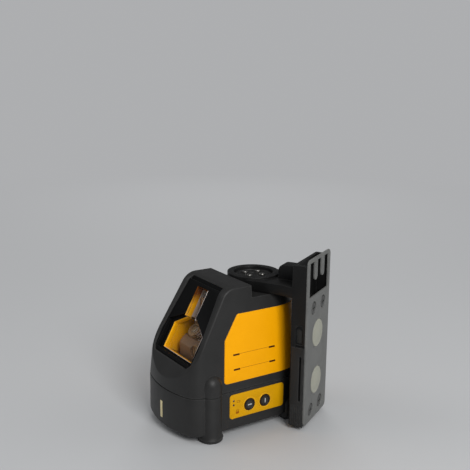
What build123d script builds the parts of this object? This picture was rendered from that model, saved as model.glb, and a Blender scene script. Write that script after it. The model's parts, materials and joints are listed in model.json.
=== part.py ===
from build123d import *
from math import atan2, cos, pi, radians, sin, sqrt, tan
import os

# Cross line laser level on a swivelling magnetic bracket, in millimetres.
# The feet stand on z = 0, the bracket's swivel axis and the tripod thread share x = y = 0,
# the window faces -Y and the keypad faces +X. The bracket rests turned towards the keypad side.

# Fits
GLUE_GAP = 0.05           # between pieces that are glued, pressed or screwed together
RUNNING_GAP = 0.05        # between a pin and the bearing it turns in
SLIDE_GAP = 0.3           # round a button, a knob or a door

# Batteries, which set the length and height of the base
CELL_COUNT = 3
CELL_LENGTH = 50.5
CELL_GAP = 0.5
CONTACT_THICK = 0.9
TRAY_WALL = 1.5

# Housing
HALF_WIDTH = 35.8
FRONT_RADIUS = 78.0
CORNER_RADIUS = 13.5
WALL = 2.6
BASE_BOTTOM = 4.9
BASE_ROUND = 2.0
NOSE_ROOM = 30.3          # length of the base, front to swivel axis, beyond the cells
BAY_SIDE = 11.75          # outside of the housing to the battery tray
LOCK_ROOM = 10.3          # battery tray to the seam
DECK_RISE = 66.8          # seam to the rear deck
HOOD_RISE = 9.2           # rear deck to the top of the hood
HOOD_GAP = 1.2            # bracket's ring to the step behind the hood
DRAFT = 5.5               # degrees that the upper housing leans in
SEAM_GROOVE = 0.9

# Sloped front face of the hood
SLOPE = 61.1              # degrees from level
SLOPE_LIFT = 23.2         # seam to the lower edge of the window
SLOPE_BACK = 8.8          # front of the base back to that edge
BROW_RADIUS = 12.3
CHEEK_ROUND = 1.6

# Corner columns and feet
COLUMN_INSET = 4.3
COLUMN_BACK = 23.5
COLUMN_RADIUS = 8.4
COLUMN_RISE = 15.9        # seam to the column's domed top
FOOT_FLARE = 1.0
REAR_FOOT_INSET = 4.2
REAR_FOOT_Y = 11.0
REAR_FOOT_RADIUS = 4.6
REAR_FOOT_TOP = 17.0
PAD_HEIGHT = 2.4
PAD_INSET = 0.4

# Yellow wrap panel
PANEL_THICK = 2.0
PANEL_PROUD = 0.5
PANEL_LIFT = 6.7          # seam to the panel
PANEL_DROP = 10.0         # deck down to the panel
PANEL_SLANT = 18.1        # height of the slanted front corner
PANEL_BACK_LOW = 32.6     # front of the base back to the panel's front edge, low, middle and top
PANEL_BACK_MID = 34.6
PANEL_BACK_TOP = 46.1
PANEL_CORNER = 2.4
DASH_LENGTH = 5.0
DASH_HEIGHT = 1.1
DASH_DEPTH = 0.6
DASH_LIFTS = (20.6, 9.6)
DASH_BACKS = (11.2, 42.7)

# Window surround and panes, measured across and up the slope
SURROUND_EDGE_LOW = 8.8   # half width of the housing less that of the surround, low and middle
SURROUND_EDGE_MID = 7.8
SURROUND_EDGE_TOP = 7.3   # the same at the top, where the housing is narrower
SURROUND_MID = 12.0
SURROUND_CHAMFER = 3.5
SURROUND_LOW = -3.0
SURROUND_DROP = 0.3       # top corner of the slope down to the surround
SURROUND_FACE_DROP = 3.2  # surround's top down to that of its raised face
SURROUND_RECESS = 1.0
SURROUND_FLANGE = 1.2
FLANGE_THICK = 1.2
FLANGE_BELOW_BROW = 0.6
POCKET_DEPTH = 2.9
POCKET_EDGE = 1.8
POCKET_RIM = 1.5
SHOULDER_LOW = 22.5
SHOULDER_TOP = 32.0
PANE_EDGE = 4.0
SLOT_HALF = 7.4
SLOT_DROP = 6.2
PANE_LEDGE = 2.0
SLOT_LEDGE = 0.7
PANE_THICK = 1.8
SLOT_PANE_THICK = 1.4
GASKET_THICK = 0.4

# Keypad on the +X side of the base
KEYPAD_BACK = 37.0        # front of the base back to the keypad
KEYPAD_REAR = 4.6
KEYPAD_LIFT = 8.5
KEYPAD_DROP = 2.3
KEYPAD_THICK = 1.8
KEYPAD_PROUD = 0.6
KEYPAD_CORNER = 2.5
BUTTON_RADIUS = 4.2
BUTTON_LIFT = 8.4
BUTTON_BACKS = (17.1, 31.0)
BUTTON_PROUD = 0.9
BUTTON_FLANGE = 1.2
BUTTON_FLANGE_THICK = 1.0
BUTTON_STUB = 0.4
LENS_RADIUS = 0.8
LENS_BACK = 3.2
LENS_LIFTS = (14.0, 10.8)
SWITCH_SIZE = 6.0
SWITCH_HEIGHT = 2.6
BOARD_THICK = 1.6
KEYPAD_BOARD_DROP = 5.6   # inside of the wall to the keypad board
KEYPAD_BOARD_INSET = 2.0
POST_RADIUS = 2.2
BOARD_SCREW_RADIUS = 1.0
BOARD_SCREW_HEAD = 1.9
BOARD_SCREW_HEAD_HEIGHT = 1.2

# Front index mark
MARK_HALF = 1.5
MARK_LIFT = 5.7
MARK_DROP = 10.9
MARK_DEPTH = 1.4
MARK_PROUD = 0.2

# Housing and frame screws
SCREW_RADIUS = 1.5
SCREW_HEAD = 2.9
SCREW_HEAD_HEIGHT = 2.2
SCREW_SEAT = 6.0          # underside of the base to the seat of the screw's head
BOSS_RADIUS = 4.2
BOSS_BITE = 0.8           # how far a boss runs into the wall beside it
BOSS_HEIGHT = 11.0
SCREW_GRIP = 8.0
SCREW_END = 1.0           # depth of a screw hole beyond its screw

# Tripod thread and battery door
TRIPOD_RADIUS = 3.175
TRIPOD_DEPTH = 9.0
INSERT_RADIUS = 6.0
INSERT_LENGTH = 11.0
INSERT_FLOOR = 0.8
TRIPOD_BOSS = 9.5
BAY_FRONT = 9.5           # front of the base back to the cells' contacts
DOOR_THICK = 2.0
DOOR_PIN_RADIUS = 0.8
KNUCKLE_RADIUS = 1.6
KNUCKLE_HALF = 8.6
EAR_WIDTH = 4.0
HINGE_OFFSET = 3.6        # inside of the tray's rear wall to the door's hinge axis

# Pendulum's gimbal and frame
GIMBAL_DROP = 8.3         # deck down to the gimbal's centre
GIMBAL_AHEAD = 1.0        # middle of the swinging block forward to the gimbal's centre
PIN_RADIUS = 1.25
BEARING_RADIUS = 2.45
BEARING_WIDTH = 3.0
BLOCK_SIZE = 9.0
BLOCK_HEIGHT = 7.0
LUG_INSIDE = 9.5
LUG_HALF = 3.4
YOKE_INSIDE = 6.5
YOKE_HALF = 4.5
FRAME_SIDE = 11.8         # outside of the housing to the frame
FRAME_WALL = 2.0
FRAME_FLOOR = 2.4
FRAME_LIFT = 0.5          # seam to the underside of the frame
FRAME_NOSE = 11.8         # front of the base back to the frame's floor
FRAME_HEADROOM = 1.2
CHEEK_BACK = 10.0         # slope back to the frame's cheeks
CHEEK_LIFT = 18.6         # height of the cheeks' upright front edge above the floor
BRIDGE_DROP = 2.8         # deck down to the underside of the bridge
BRIDGE_THICK = 2.5
FRAME_POST_RADIUS = 3.0
FRAME_POST_SIDE = 7.8
FRAME_POST_AHEAD = 8.7    # column forward to the frame's front post
FRAME_POST_REAR = (18.0, -9.0)

# Swinging block with the laser modules
SWING_HALF = 12.5
SWING_CLEAR = 12.6        # slope back to the top front edge of the block
SWING_REAR_GAP = 5.0
SWING_LIFT = 10.6         # frame's floor to the block
SWING_DROP = 11.0         # gimbal's centre down to the block
SWING_ROUND = 2.0
HEAD_HALF = 15.5          # wide head in front of the block
HEAD_LENGTH = 11.0
HEAD_HEIGHT = 17.5
HEAD_CHAMFER = 5.0
HEAD_ROUND = 1.5
MODULE_RADIUS = 5.0
MODULE_GRIP = 8.0         # depth of the block behind the level module
VERTICAL_X = -5.0
VERTICAL_CLIMB = 23.8     # lower edge of the slope up to the middle of the raised module's front end
VERTICAL_CLEAR = 12.4     # slope back to that point
VERTICAL_TILT = 50.0      # degrees that the module for the upright line looks up
VERTICAL_LENGTH = 20.0
HORIZONTAL_X = 6.5
HORIZONTAL_LIFT = 10.5
HORIZONTAL_CLEAR = 13.8
LINE_LENS_RADIUS = 3.4
LINE_LENS_LENGTH = 3.0
DAMPER_RADIUS = 9.0
DAMPER_THICK = 4.0
MAGNET_RING_HEIGHT = 4.0
MAGNET_RING_BORE = 4.5
BALANCE_RADIUS = 2.2
BALANCE_SHANK = 1.2
BALANCE_LENGTH = 2.4
BALANCE_GRIP = 4.0
BALANCE_LIFT = 3.4

# Pendulum lock
STEM_RADIUS = 3.0
STEM_MARGIN = 1.0
STEM_TOP_GAP = 2.3        # damper to the lock pad when the pendulum is free
LOCK_TRAVEL = 8.0
LOCK_LIFT = 2.0
ARM_LIFT = 3.4            # battery tray to the lock's arm
RAMP_LIFT = 3.6           # underside of the arm to the ramp below the stem's axis
KNOB_LENGTH = 10.0
KNOB_HEIGHT = 6.0
KNOB_PROUD = 1.4
KNOB_LIFT = 17.1
NECK_LENGTH = 5.0
NECK_HEIGHT = 3.2
SLIDER_PLATE = 1.6

# Main circuit board
BOARD_INSET = 3.0
BOARD_LIFT = 3.6
BOARD_HEIGHT = 36.0
BOARD_POST = 3.0
BOARD_POST_INSET = 3.5
CHIP_HEIGHT = 2.0
CHIP_SIZES = ((-0.52, 25.0, 10.0, 10.0), (0.43, 23.0, 14.0, 8.0), (0.0, 9.0, 8.0, 12.0))
# Share of the board's half width, lift, width and height of each chip

# Swivel bracket, drawn pointing along +X and then turned to its rest heading
REST_HEADING = 30.73
RING_RADIUS = 20.1
RING_HEIGHT = 9.8
RING_RIM = 1.8            # ring's top above the arm's
RECESS_DEPTH = 4.5
RECESS_WIDER = 5.0        # ring's recess beyond the hub
WASHER_THICK = 0.5
WASHER_EDGE = 0.6
ARM_NARROWER = 0.1
ARM_TAPER = 10.6
GUSSET_HALF = 5.5
GUSSET_HEIGHT = 11.2
GUSSET_OFFSET = 2.9
GUSSET_ROUND = 4.5
UPRIGHT_GAP = 5.8         # side of the housing to the upright
UPRIGHT_DEPTH = 11.15
UPRIGHT_WALL = 2.5
UPRIGHT_RISE = 17.0       # arm's top to the upright's top
PLATE_THICK = 1.2
PLATE_HALF = 23.3
PLATE_LOW = 3.0
PLATE_RISE = 4.2          # upright's top to the plate's
PLATE_CORNER = 4.0
OPENING_EDGE = 4.0
OPENING_HEIGHT = 26.2
OPENING_BAR = 2.8
FINGER_SHARE = 0.37       # of the opening's half width
FINGER_HALF = 3.0
FINGER_LENGTH = 14.5
MAGNET_RADIUS = 10.5
MAGNET_LIFTS = (67.5, 29.9)
MAGNET_PROUD = 0.2
MAGNET_THICK = 4.2
YOKE_DISC = 1.2
PLATE_SCREW_EDGE = 13.6   # side of the plate to the screw
PLATE_SCREW_DROP = 9.5
PLATE_SCREW_LIFT = 9.0
PLATE_SCREW_SEAT = 5.0
PLATE_SCREW_SINK = 1.6
PLATE_SCREW_HEAD = 4.4
PLATE_SCREW_GRIP = 4.0
PLATE_PAD = 1.6           # thickening behind the plate at each screw
PLATE_PAD_RIM = 0.8
PLATE_BOSS = 4.4
SIDE_EDGE = 3.8           # upright's inner face to the side pocket
SIDE_POCKET = (-2.9, 11.1)   # from the upper magnet's height
SIDE_POCKET_LENGTH = 5.2
SIDE_POCKET_DEPTH = 1.5
SIDE_GROOVE = (-4.9, -3.6)
SIDE_STEP = 0.8           # how far the sides stand out below the groove
SIDE_STEP_EDGE = 1.0
SIDE_SLOT = (-9.4, 25.6)     # from the lower magnet's height
SIDE_SLOT_EDGE = 2.0         # back plate to the slot
SIDE_SLOT_WIDTH = 1.6
SIDE_CUT = 1.1
HUB_RADIUS = 10.0
HUB_FLANGE_WIDER = 4.0
HUB_FLANGE_THICK = 2.5
RETAINER_THICK = 1.8
RETAINER_SCREWS = 4
RETAINER_SCREW_INSET = 2.8
RETAINER_SCREW_RADIUS = 1.25
RETAINER_SCREW_HEAD = 2.3
RETAINER_HEAD_HEIGHT = 1.4
RETAINER_SCREW_GRIP = 6.0

# Places that follow from the sizes above
FAR = 200.0
INSIDE = HALF_WIDTH - WALL
NOSE = CELL_LENGTH + NOSE_ROOM
BASE_FLOOR = BASE_BOTTOM + WALL
TRAY_HALF = HALF_WIDTH - BAY_SIDE - TRAY_WALL
CELL_RADIUS = (TRAY_HALF - CELL_GAP) / CELL_COUNT - CELL_GAP / 2
CELL_Z = BASE_FLOOR + CELL_RADIUS + CELL_GAP
TRAY_TOP = BASE_FLOOR + 2 * CELL_RADIUS + 2 * CELL_GAP + TRAY_WALL
TRAY_FRONT = BAY_FRONT - NOSE
TRAY_REAR = TRAY_FRONT + CELL_LENGTH + 2 * CONTACT_THICK
SEAM = TRAY_TOP + LOCK_ROOM
DECK = SEAM + DECK_RISE
HOOD_TOP = DECK + HOOD_RISE
HOOD_REAR = RING_RADIUS + HOOD_GAP
SLOPE_SIN = sin(radians(SLOPE))
SLOPE_COS = cos(radians(SLOPE))
SLOPE_TAN = tan(radians(SLOPE))
SLOPE_Y = SLOPE_BACK - NOSE
SLOPE_Z = SEAM + SLOPE_LIFT
SLOPE_TOP = (HOOD_TOP - SLOPE_Z) / SLOPE_SIN
SLOPE_PLANE = Plane(origin=(0, SLOPE_Y, SLOPE_Z), x_dir=(1, 0, 0), z_dir=(0, -SLOPE_SIN, SLOPE_COS))
COLUMN_X = HALF_WIDTH - COLUMN_INSET
COLUMN_Y = COLUMN_BACK - NOSE
COLUMN_TOP = SEAM + COLUMN_RISE
REAR_FOOT_X = HALF_WIDTH - REAR_FOOT_INSET
PANEL_BOTTOM = SEAM + PANEL_LIFT
PANEL_TOP = DECK - PANEL_DROP
SURROUND_HALF_LOW = HALF_WIDTH - SURROUND_EDGE_LOW
SURROUND_HALF_MID = HALF_WIDTH - SURROUND_EDGE_MID
SURROUND_HALF_TOP = HALF_WIDTH - (HOOD_TOP - SEAM) * tan(radians(DRAFT)) - SURROUND_EDGE_TOP
SURROUND_TOP = SLOPE_TOP - SURROUND_DROP
SURROUND_FACE_TOP = SURROUND_TOP - SURROUND_FACE_DROP
FLANGE_TOP = SLOPE_TOP - BROW_RADIUS * tan(radians(SLOPE) / 2) - FLANGE_BELOW_BROW
POCKET_HALF = SURROUND_HALF_LOW - POCKET_EDGE
PANE_HALF = POCKET_HALF - PANE_EDGE
SLOT_TOP = SURROUND_TOP - SLOT_DROP
KEYPAD_FRONT = KEYPAD_BACK - NOSE
KEYPAD_LOW = BASE_BOTTOM + KEYPAD_LIFT
KEYPAD_HIGH = SEAM - KEYPAD_DROP
KEYPAD_SEAT = HALF_WIDTH + KEYPAD_PROUD - KEYPAD_THICK
KEYPAD_FACE = HALF_WIDTH + KEYPAD_PROUD
KEYPAD_BOARD_X = INSIDE - KEYPAD_BOARD_DROP
BUTTON_Z = KEYPAD_LOW + BUTTON_LIFT
BUTTON_YS = [KEYPAD_FRONT + back for back in BUTTON_BACKS]
LENS_Y = KEYPAD_FRONT + LENS_BACK
LENS_ZS = [KEYPAD_LOW + lift for lift in LENS_LIFTS]
KEYPAD_POST_Y = (LENS_Y + BUTTON_YS[0]) / 2
KEYPAD_POSTS = [
    (KEYPAD_POST_Y, KEYPAD_HIGH - 2 * POST_RADIUS), (KEYPAD_POST_Y, KEYPAD_LOW + POST_RADIUS / 2),
    (KEYPAD_REAR - KEYPAD_BOARD_INSET - 2 * POST_RADIUS, BUTTON_Z)]
BOSS_REACH = INSIDE - BOSS_RADIUS + BOSS_BITE
BOSS_SPOTS = [(side * BOSS_REACH, COLUMN_Y) for side in (-1, 1)]
BOSS_SPOTS += [(side * BOSS_REACH * sqrt(0.5), BOSS_REACH * sqrt(0.5)) for side in (-1, 1)]
HINGE_Y = TRAY_REAR + HINGE_OFFSET
HINGE_Z = BASE_BOTTOM + KNUCKLE_RADIUS
DOOR_REAR = HINGE_Y - KNUCKLE_RADIUS - 2 * SLIDE_GAP
HUB_FLANGE = HUB_RADIUS + HUB_FLANGE_WIDER
FRAME_HALF = HALF_WIDTH - FRAME_SIDE
FRAME_FRONT = FRAME_NOSE - NOSE
FRAME_REAR = -HUB_FLANGE - FRAME_WALL / 2
FRAME_BOTTOM = SEAM + FRAME_LIFT
FRAME_TOP_OF_FLOOR = FRAME_BOTTOM + FRAME_FLOOR
FRAME_POST_FRONT = (HALF_WIDTH - FRAME_POST_SIDE, COLUMN_Y - FRAME_POST_AHEAD)
FRAME_SPOTS = [(side * x, y) for x, y in (FRAME_POST_FRONT, FRAME_POST_REAR) for side in (-1, 1)]
BRIDGE_LOW = DECK - BRIDGE_DROP
BRIDGE_TOP = BRIDGE_LOW + BRIDGE_THICK
GIMBAL_Z = DECK - GIMBAL_DROP
SWING_TOP = GIMBAL_Z - SWING_DROP
SWING_LOW = FRAME_TOP_OF_FLOOR + SWING_LIFT
SWING_FRONT = SLOPE_Y + (SWING_TOP - SLOPE_Z) / SLOPE_TAN + SWING_CLEAR
SWING_REAR = FRAME_REAR - FRAME_WALL - SWING_REAR_GAP
GIMBAL_Y = (SWING_FRONT + SWING_REAR) / 2 - GIMBAL_AHEAD
HEAD_FRONT = SWING_FRONT - HEAD_LENGTH
HEAD_TOP = SWING_LOW + HEAD_HEIGHT
MODULE_BACK = SWING_REAR - MODULE_GRIP
VERTICAL_Y = SLOPE_Y + VERTICAL_CLIMB * cos(radians(SLOPE)) + VERTICAL_CLEAR * sin(radians(SLOPE))
VERTICAL_Z = SLOPE_Z + VERTICAL_CLIMB * sin(radians(SLOPE)) - VERTICAL_CLEAR * cos(radians(SLOPE))
HORIZONTAL_Z = SWING_LOW + HORIZONTAL_LIFT
HORIZONTAL_Y = SLOPE_Y + (HORIZONTAL_Z + MODULE_RADIUS - SLOPE_Z) / SLOPE_TAN + HORIZONTAL_CLEAR
# Front end, tilt and length of each laser module
VERTICAL_MODULE = (VERTICAL_X, VERTICAL_Y, VERTICAL_Z, VERTICAL_TILT, VERTICAL_LENGTH)
HORIZONTAL_MODULE = (HORIZONTAL_X, HORIZONTAL_Y, HORIZONTAL_Z, 0, MODULE_BACK - HORIZONTAL_Y)
DAMPER_LOW = SWING_LOW - DAMPER_THICK
BALANCE_Z = SWING_LOW + BALANCE_LIFT
ARM_BOTTOM = TRAY_TOP + ARM_LIFT
RAMP_MIDDLE = ARM_BOTTOM + RAMP_LIFT
LOCK_SLOPE = LOCK_LIFT / LOCK_TRAVEL
KNOB_Z = BASE_BOTTOM + KNOB_LIFT
BOARD_HALF = FRAME_HALF - BOARD_INSET
BOARD_LOW = FRAME_TOP_OF_FLOOR + BOARD_LIFT
BOARD_HIGH = BOARD_LOW + BOARD_HEIGHT
RING_BOTTOM = DECK + WASHER_THICK
RING_TOP = RING_BOTTOM + RING_HEIGHT
RING_BORE = HUB_RADIUS + RUNNING_GAP
RING_RECESS = HUB_RADIUS + RECESS_WIDER
RECESS_FLOOR = RING_TOP - RECESS_DEPTH
RETAINER_BOTTOM = RECESS_FLOOR + WASHER_THICK
RETAINER_TOP = RETAINER_BOTTOM + RETAINER_THICK
RETAINER_SCREW_CIRCLE = HUB_RADIUS - RETAINER_SCREW_INSET
ARM_HALF = RING_RADIUS - ARM_NARROWER
ARM_TOP = RING_TOP - RING_RIM
UPRIGHT_INSIDE = HALF_WIDTH + UPRIGHT_GAP
UPRIGHT_TOP = ARM_TOP + UPRIGHT_RISE
PLATE_INSIDE = UPRIGHT_INSIDE + UPRIGHT_DEPTH
PLATE_FACE = PLATE_INSIDE + PLATE_THICK
PLATE_TOP = UPRIGHT_TOP + PLATE_RISE
OPENING_TOP = PLATE_TOP - OPENING_BAR
OPENING_HALF = PLATE_HALF - OPENING_EDGE
OPENING_LOW = OPENING_TOP - OPENING_HEIGHT
FINGER_X = FINGER_SHARE * OPENING_HALF
FINGER_LOW = OPENING_TOP - FINGER_LENGTH
MAGNET_ZS = [PLATE_LOW + lift for lift in MAGNET_LIFTS]
MAGNET_BACK = PLATE_FACE + MAGNET_PROUD - MAGNET_THICK
PLATE_SCREW_X = PLATE_HALF - PLATE_SCREW_EDGE
PLATE_SCREW_ZS = (OPENING_LOW - PLATE_SCREW_DROP, PLATE_LOW + PLATE_SCREW_LIFT)


def block(x0, x1, y0, y1, z0, z1):
    """Box between two corners."""
    return Pos((x0 + x1) / 2, (y0 + y1) / 2, (z0 + z1) / 2) * Box(x1 - x0, y1 - y0, z1 - z0)


def rod_x(x0, x1, y, z, radius):
    """Cylinder along X."""
    return Pos((x0 + x1) / 2, y, z) * Rot(0, 90, 0) * Cylinder(radius, x1 - x0)


def rod_y(x, y0, y1, z, radius):
    """Cylinder along Y."""
    return Pos(x, (y0 + y1) / 2, z) * Rot(90, 0, 0) * Cylinder(radius, y1 - y0)


def rod_z(x, y, z0, z1, radius):
    """Cylinder along Z."""
    return Pos(x, y, (z0 + z1) / 2) * Cylinder(radius, z1 - z0)


def slab_x(points, x0, x1):
    """Outline of (y, z) points, swept along X."""
    face = make_face(Polyline(*[(x0, y, z) for y, z in points], close=True))
    return extrude(face, amount=x1 - x0, dir=(1, 0, 0))


def slab_z(points, z0, z1):
    """Outline of (x, y) points, swept along Z."""
    face = make_face(Polyline(*[(x, y, z0) for x, y in points], close=True))
    return extrude(face, amount=z1 - z0, dir=(0, 0, 1))


def mirrored(points):
    """Right half of an outline, from its low end to its top, closed by its mirror image."""
    return points + [(-x, y) for x, y in reversed(points)]


def on_slope(half_outline, low, high):
    """Prism on the sloped front: outline across and up the slope, swept along its normal."""
    face = make_face(Polyline(*[(x, s, low) for x, s in mirrored(half_outline)], close=True))
    return SLOPE_PLANE.location * extrude(face, amount=high - low, dir=(0, 0, 1))


def both_sides(shape):
    """A shape and its mirror image across the middle plane."""
    return shape + mirror(shape, about=Plane.YZ)


def joined(shapes):
    """Union of several shapes."""
    whole = shapes[0]
    for shape in shapes[1:]:
        whole += shape
    return whole


def group(shapes):
    """Separate solids kept together as one node."""
    return Compound(children=[Part() + shape for shape in shapes])


def screw_z(x, y, seat, head_radius, head_height, radius, length):
    """Screw pointing up, with its head under the seat."""
    return rod_z(x, y, seat - head_height, seat, head_radius) + rod_z(x, y, seat, seat + length, radius)


def plan_face(inset, z):
    """Housing outline in plan, drawn in by an inset: round back, straight sides, bowed front."""
    half = HALF_WIDTH - inset
    corner_x = HALF_WIDTH - CORNER_RADIUS
    front_y = FRONT_RADIUS - NOSE
    reach = FRONT_RADIUS - CORNER_RADIUS
    corner_y = front_y - sqrt(reach ** 2 - corner_x ** 2)
    turn = atan2(corner_y - front_y, corner_x)
    front = FRONT_RADIUS - inset
    corner = CORNER_RADIUS - inset
    touch = (front * cos(turn), front_y + front * sin(turn))
    bulge = (corner_x + corner * cos(turn / 2), corner_y + corner * sin(turn / 2))
    edges = [
        ThreePointArc((half, 0), (0, half), (-half, 0)),
        Line((-half, 0), (-half, corner_y)),
        ThreePointArc((-half, corner_y), (-bulge[0], bulge[1]), (-touch[0], touch[1])),
        ThreePointArc((-touch[0], touch[1]), (0, front_y - front), touch),
        ThreePointArc(touch, bulge, (half, corner_y)),
        Line((half, corner_y), (half, 0)),
    ]
    return Pos(0, 0, z) * make_face(edges)


def drafted(inset, top):
    """Upper housing's outline, leaning in from the seam to a height."""
    return extrude(plan_face(inset, SEAM), amount=top - SEAM, taper=DRAFT)


def front_profile(inset):
    """Side view of the upper housing: slope, brow, hood top, step and deck."""
    top = HOOD_TOP - inset
    low = BASE_BOTTOM
    half_turn = radians(SLOPE) / 2
    brow = BROW_RADIUS - inset
    lap = brow * tan(half_turn)
    peak = slope_y(top) + inset / SLOPE_SIN
    brow_low = (0, peak - lap * SLOPE_COS, top - lap * SLOPE_SIN)
    brow_mid = (0, peak + lap - brow * sin(half_turn), top - brow * (1 - cos(half_turn)))
    brow_high = (0, peak + lap, top)
    step = -HOOD_REAR - inset
    deck = DECK - inset
    foot = (0, slope_y(low) + inset / SLOPE_SIN, low)
    rest = [brow_high, (0, step, top), (0, step, deck), (0, FAR, deck), (0, FAR, low), foot, brow_low]
    face = make_face([ThreePointArc(brow_low, brow_mid, brow_high), Polyline(*rest)])
    return extrude(Pos(-FAR, 0, 0) * face, amount=2 * FAR, dir=(1, 0, 0))


def slope_y(z):
    """Y of the sloped front's centre line at a height."""
    return SLOPE_Y + (z - SLOPE_Z) / SLOPE_TAN


def hood_solid(inset):
    """Upper housing filled in, drawn in by an inset on every face."""
    return drafted(inset, HOOD_TOP - inset) & front_profile(inset)


def column(z0, z1):
    """Front corner columns between two heights."""
    return both_sides(rod_z(COLUMN_X, COLUMN_Y, z0, z1, COLUMN_RADIUS))


def surround_half(s):
    """Half width of the window surround above its middle."""
    share = (s - SURROUND_MID) / (SURROUND_TOP - SURROUND_MID)
    return SURROUND_HALF_MID + share * (SURROUND_HALF_TOP - SURROUND_HALF_MID)


def surround_outline(grow, top):
    """Half outline of the window surround up to a place on the slope."""
    return [
        (SURROUND_HALF_LOW - SURROUND_CHAMFER + grow / 2, SURROUND_LOW - grow),
        (SURROUND_HALF_LOW + grow, SURROUND_LOW + SURROUND_CHAMFER - grow / 2),
        (SURROUND_HALF_MID + grow, SURROUND_MID),
        (surround_half(top) + grow, top),
    ]


def keyhole(wide, low, shoulder, narrow, neck, top):
    """Half outline of a wide window with slanted shoulders and a narrow slot above."""
    return [(wide, low), (wide, shoulder), (narrow, neck), (narrow, top)]


def pocket_outline(grow):
    """Half outline of the recess that the wide window lies in."""
    return keyhole(
        POCKET_HALF + grow, -grow, SHOULDER_LOW + grow / 2, SLOT_HALF + grow, SHOULDER_TOP + grow,
        SHOULDER_TOP + grow + 0.01)


def pane_outline(grow):
    """Half outline of the wide window with its shoulders."""
    return keyhole(
        PANE_HALF + grow, POCKET_RIM - grow, SHOULDER_LOW - POCKET_RIM / 2 + grow / 2, SLOT_HALF + grow,
        SHOULDER_TOP - POCKET_RIM + grow, SHOULDER_TOP - POCKET_RIM + grow + 0.01)


def slot_outline(grow):
    """Half outline of the narrow slot."""
    return [(SLOT_HALF + grow, SHOULDER_TOP), (SLOT_HALF + grow, SLOT_TOP + grow)]


def panel_region(grow):
    """Side view of the yellow panel, open round the back."""
    low = PANEL_BOTTOM - grow
    high = PANEL_TOP + grow
    outline = [
        (PANEL_BACK_LOW - NOSE - grow, low), (PANEL_BACK_MID - NOSE - grow, PANEL_TOP - PANEL_SLANT),
        (PANEL_BACK_TOP - NOSE - grow, high),
        (FAR, high), (FAR, low)]
    region = slab_x(outline, -FAR, FAR)
    corners = [edge for edge in region.edges().filter_by(Axis.X) if edge.center().Y < 0]
    return fillet(corners, PANEL_CORNER + grow)


def wrap_panel():
    """Yellow panel on both sides and round the back, with four short dashes on each side."""
    skin = drafted(-PANEL_PROUD, HOOD_TOP) - drafted(PANEL_THICK - PANEL_PROUD, HOOD_TOP)
    panel = skin & panel_region(0)
    for z in [PANEL_BOTTOM + lift for lift in DASH_LIFTS]:
        surface = HALF_WIDTH + PANEL_PROUD - (z - SEAM) * tan(radians(DRAFT))
        for y in [PANEL_BACK_LOW - NOSE + back for back in DASH_BACKS]:
            half_length, half_height = DASH_LENGTH / 2, DASH_HEIGHT / 2
            dash = block(surface - DASH_DEPTH, FAR, y - half_length, y + half_length,
                         z - half_height, z + half_height)
            panel -= both_sides(dash)
    return panel


def upper_housing():
    """Hood and deck shell, with the columns' domed tops and four screw bosses."""
    dome_z = COLUMN_TOP - COLUMN_RADIUS
    hood = hood_solid(0)
    hood = fillet([edge for edge in hood.edges() if is_cheek_edge(edge)], CHEEK_ROUND)
    domes = both_sides(Pos(COLUMN_X, COLUMN_Y, dome_z) * Sphere(COLUMN_RADIUS))
    shell = hood + column(SEAM, dome_z) + domes.intersect(block(-FAR, FAR, -FAR, FAR, dome_z, FAR))
    shell -= hood_solid(WALL)
    shell -= groove()
    for x, y in BOSS_SPOTS:
        shell += rod_z(x, y, SEAM, SEAM + BOSS_HEIGHT, BOSS_RADIUS)
    for x, y in BOSS_SPOTS:
        shell -= rod_z(x, y, SEAM, SEAM + SCREW_GRIP + SCREW_END, SCREW_RADIUS + GLUE_GAP)
    seat = drafted(-FAR / 40, HOOD_TOP) - drafted(PANEL_THICK - PANEL_PROUD, HOOD_TOP)
    shell -= seat & panel_region(GLUE_GAP)
    shell -= on_slope(surround_outline(GLUE_GAP, SURROUND_TOP + GLUE_GAP), -3 * WALL, FAR)
    shell -= rod_z(0, 0, DECK - 2 * WALL, DECK + WALL, HUB_RADIUS + GLUE_GAP)
    return shell


def is_cheek_edge(edge):
    """True on the two long straight edges where the hood's sides meet its slope."""
    middle = edge.center()
    on_face = abs(middle.Y - slope_y(middle.Z)) < 0.01
    return on_face and abs(middle.X) > SLOT_HALF and edge.geom_type == GeomType.LINE


def groove():
    """Shallow groove round the bottom of the upper housing that shows as the seam line."""
    band = block(-FAR, FAR, -FAR, FAR, SEAM, SEAM + SEAM_GROOVE)
    keep = extrude(plan_face(SEAM_GROOVE, SEAM), amount=SEAM_GROOVE)
    keep += both_sides(rod_z(COLUMN_X, COLUMN_Y, SEAM, SEAM + SEAM_GROOVE, COLUMN_RADIUS - SEAM_GROOVE))
    return band - keep


def window_surround():
    """Dark front insert: flat plate on the slope, recess for the wide window, slot above it."""
    face = -SURROUND_RECESS
    floor = face - POCKET_DEPTH
    plate = on_slope(surround_outline(0, SURROUND_FACE_TOP), -WALL, face)
    plate += on_slope(surround_outline(0, SURROUND_TOP), -WALL - FLANGE_THICK, -WALL)
    plate += on_slope(surround_outline(SURROUND_FLANGE, FLANGE_TOP), -WALL - FLANGE_THICK, -WALL)
    plate += on_slope(pocket_outline(POCKET_RIM), floor - POCKET_RIM, -WALL)
    plate -= on_slope(pocket_outline(0), floor, WALL)
    plate -= on_slope(pane_outline(0), floor - WALL, floor)
    plate -= on_slope(slot_outline(0), -WALL, WALL)
    return plate - on_slope(slot_outline(-SLOT_LEDGE), -WALL - POCKET_DEPTH, WALL)


def pane_back():
    """Depth of the back of the surround's floor, where the gasket and the wide pane sit."""
    return -SURROUND_RECESS - POCKET_DEPTH - POCKET_RIM


def window_gasket():
    """Rubber frame between the surround and the wide pane."""
    back = pane_back()
    ring = on_slope(pane_outline(PANE_LEDGE), back - GASKET_THICK, back)
    return ring - on_slope(pane_outline(0), back - WALL, back + WALL)


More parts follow.
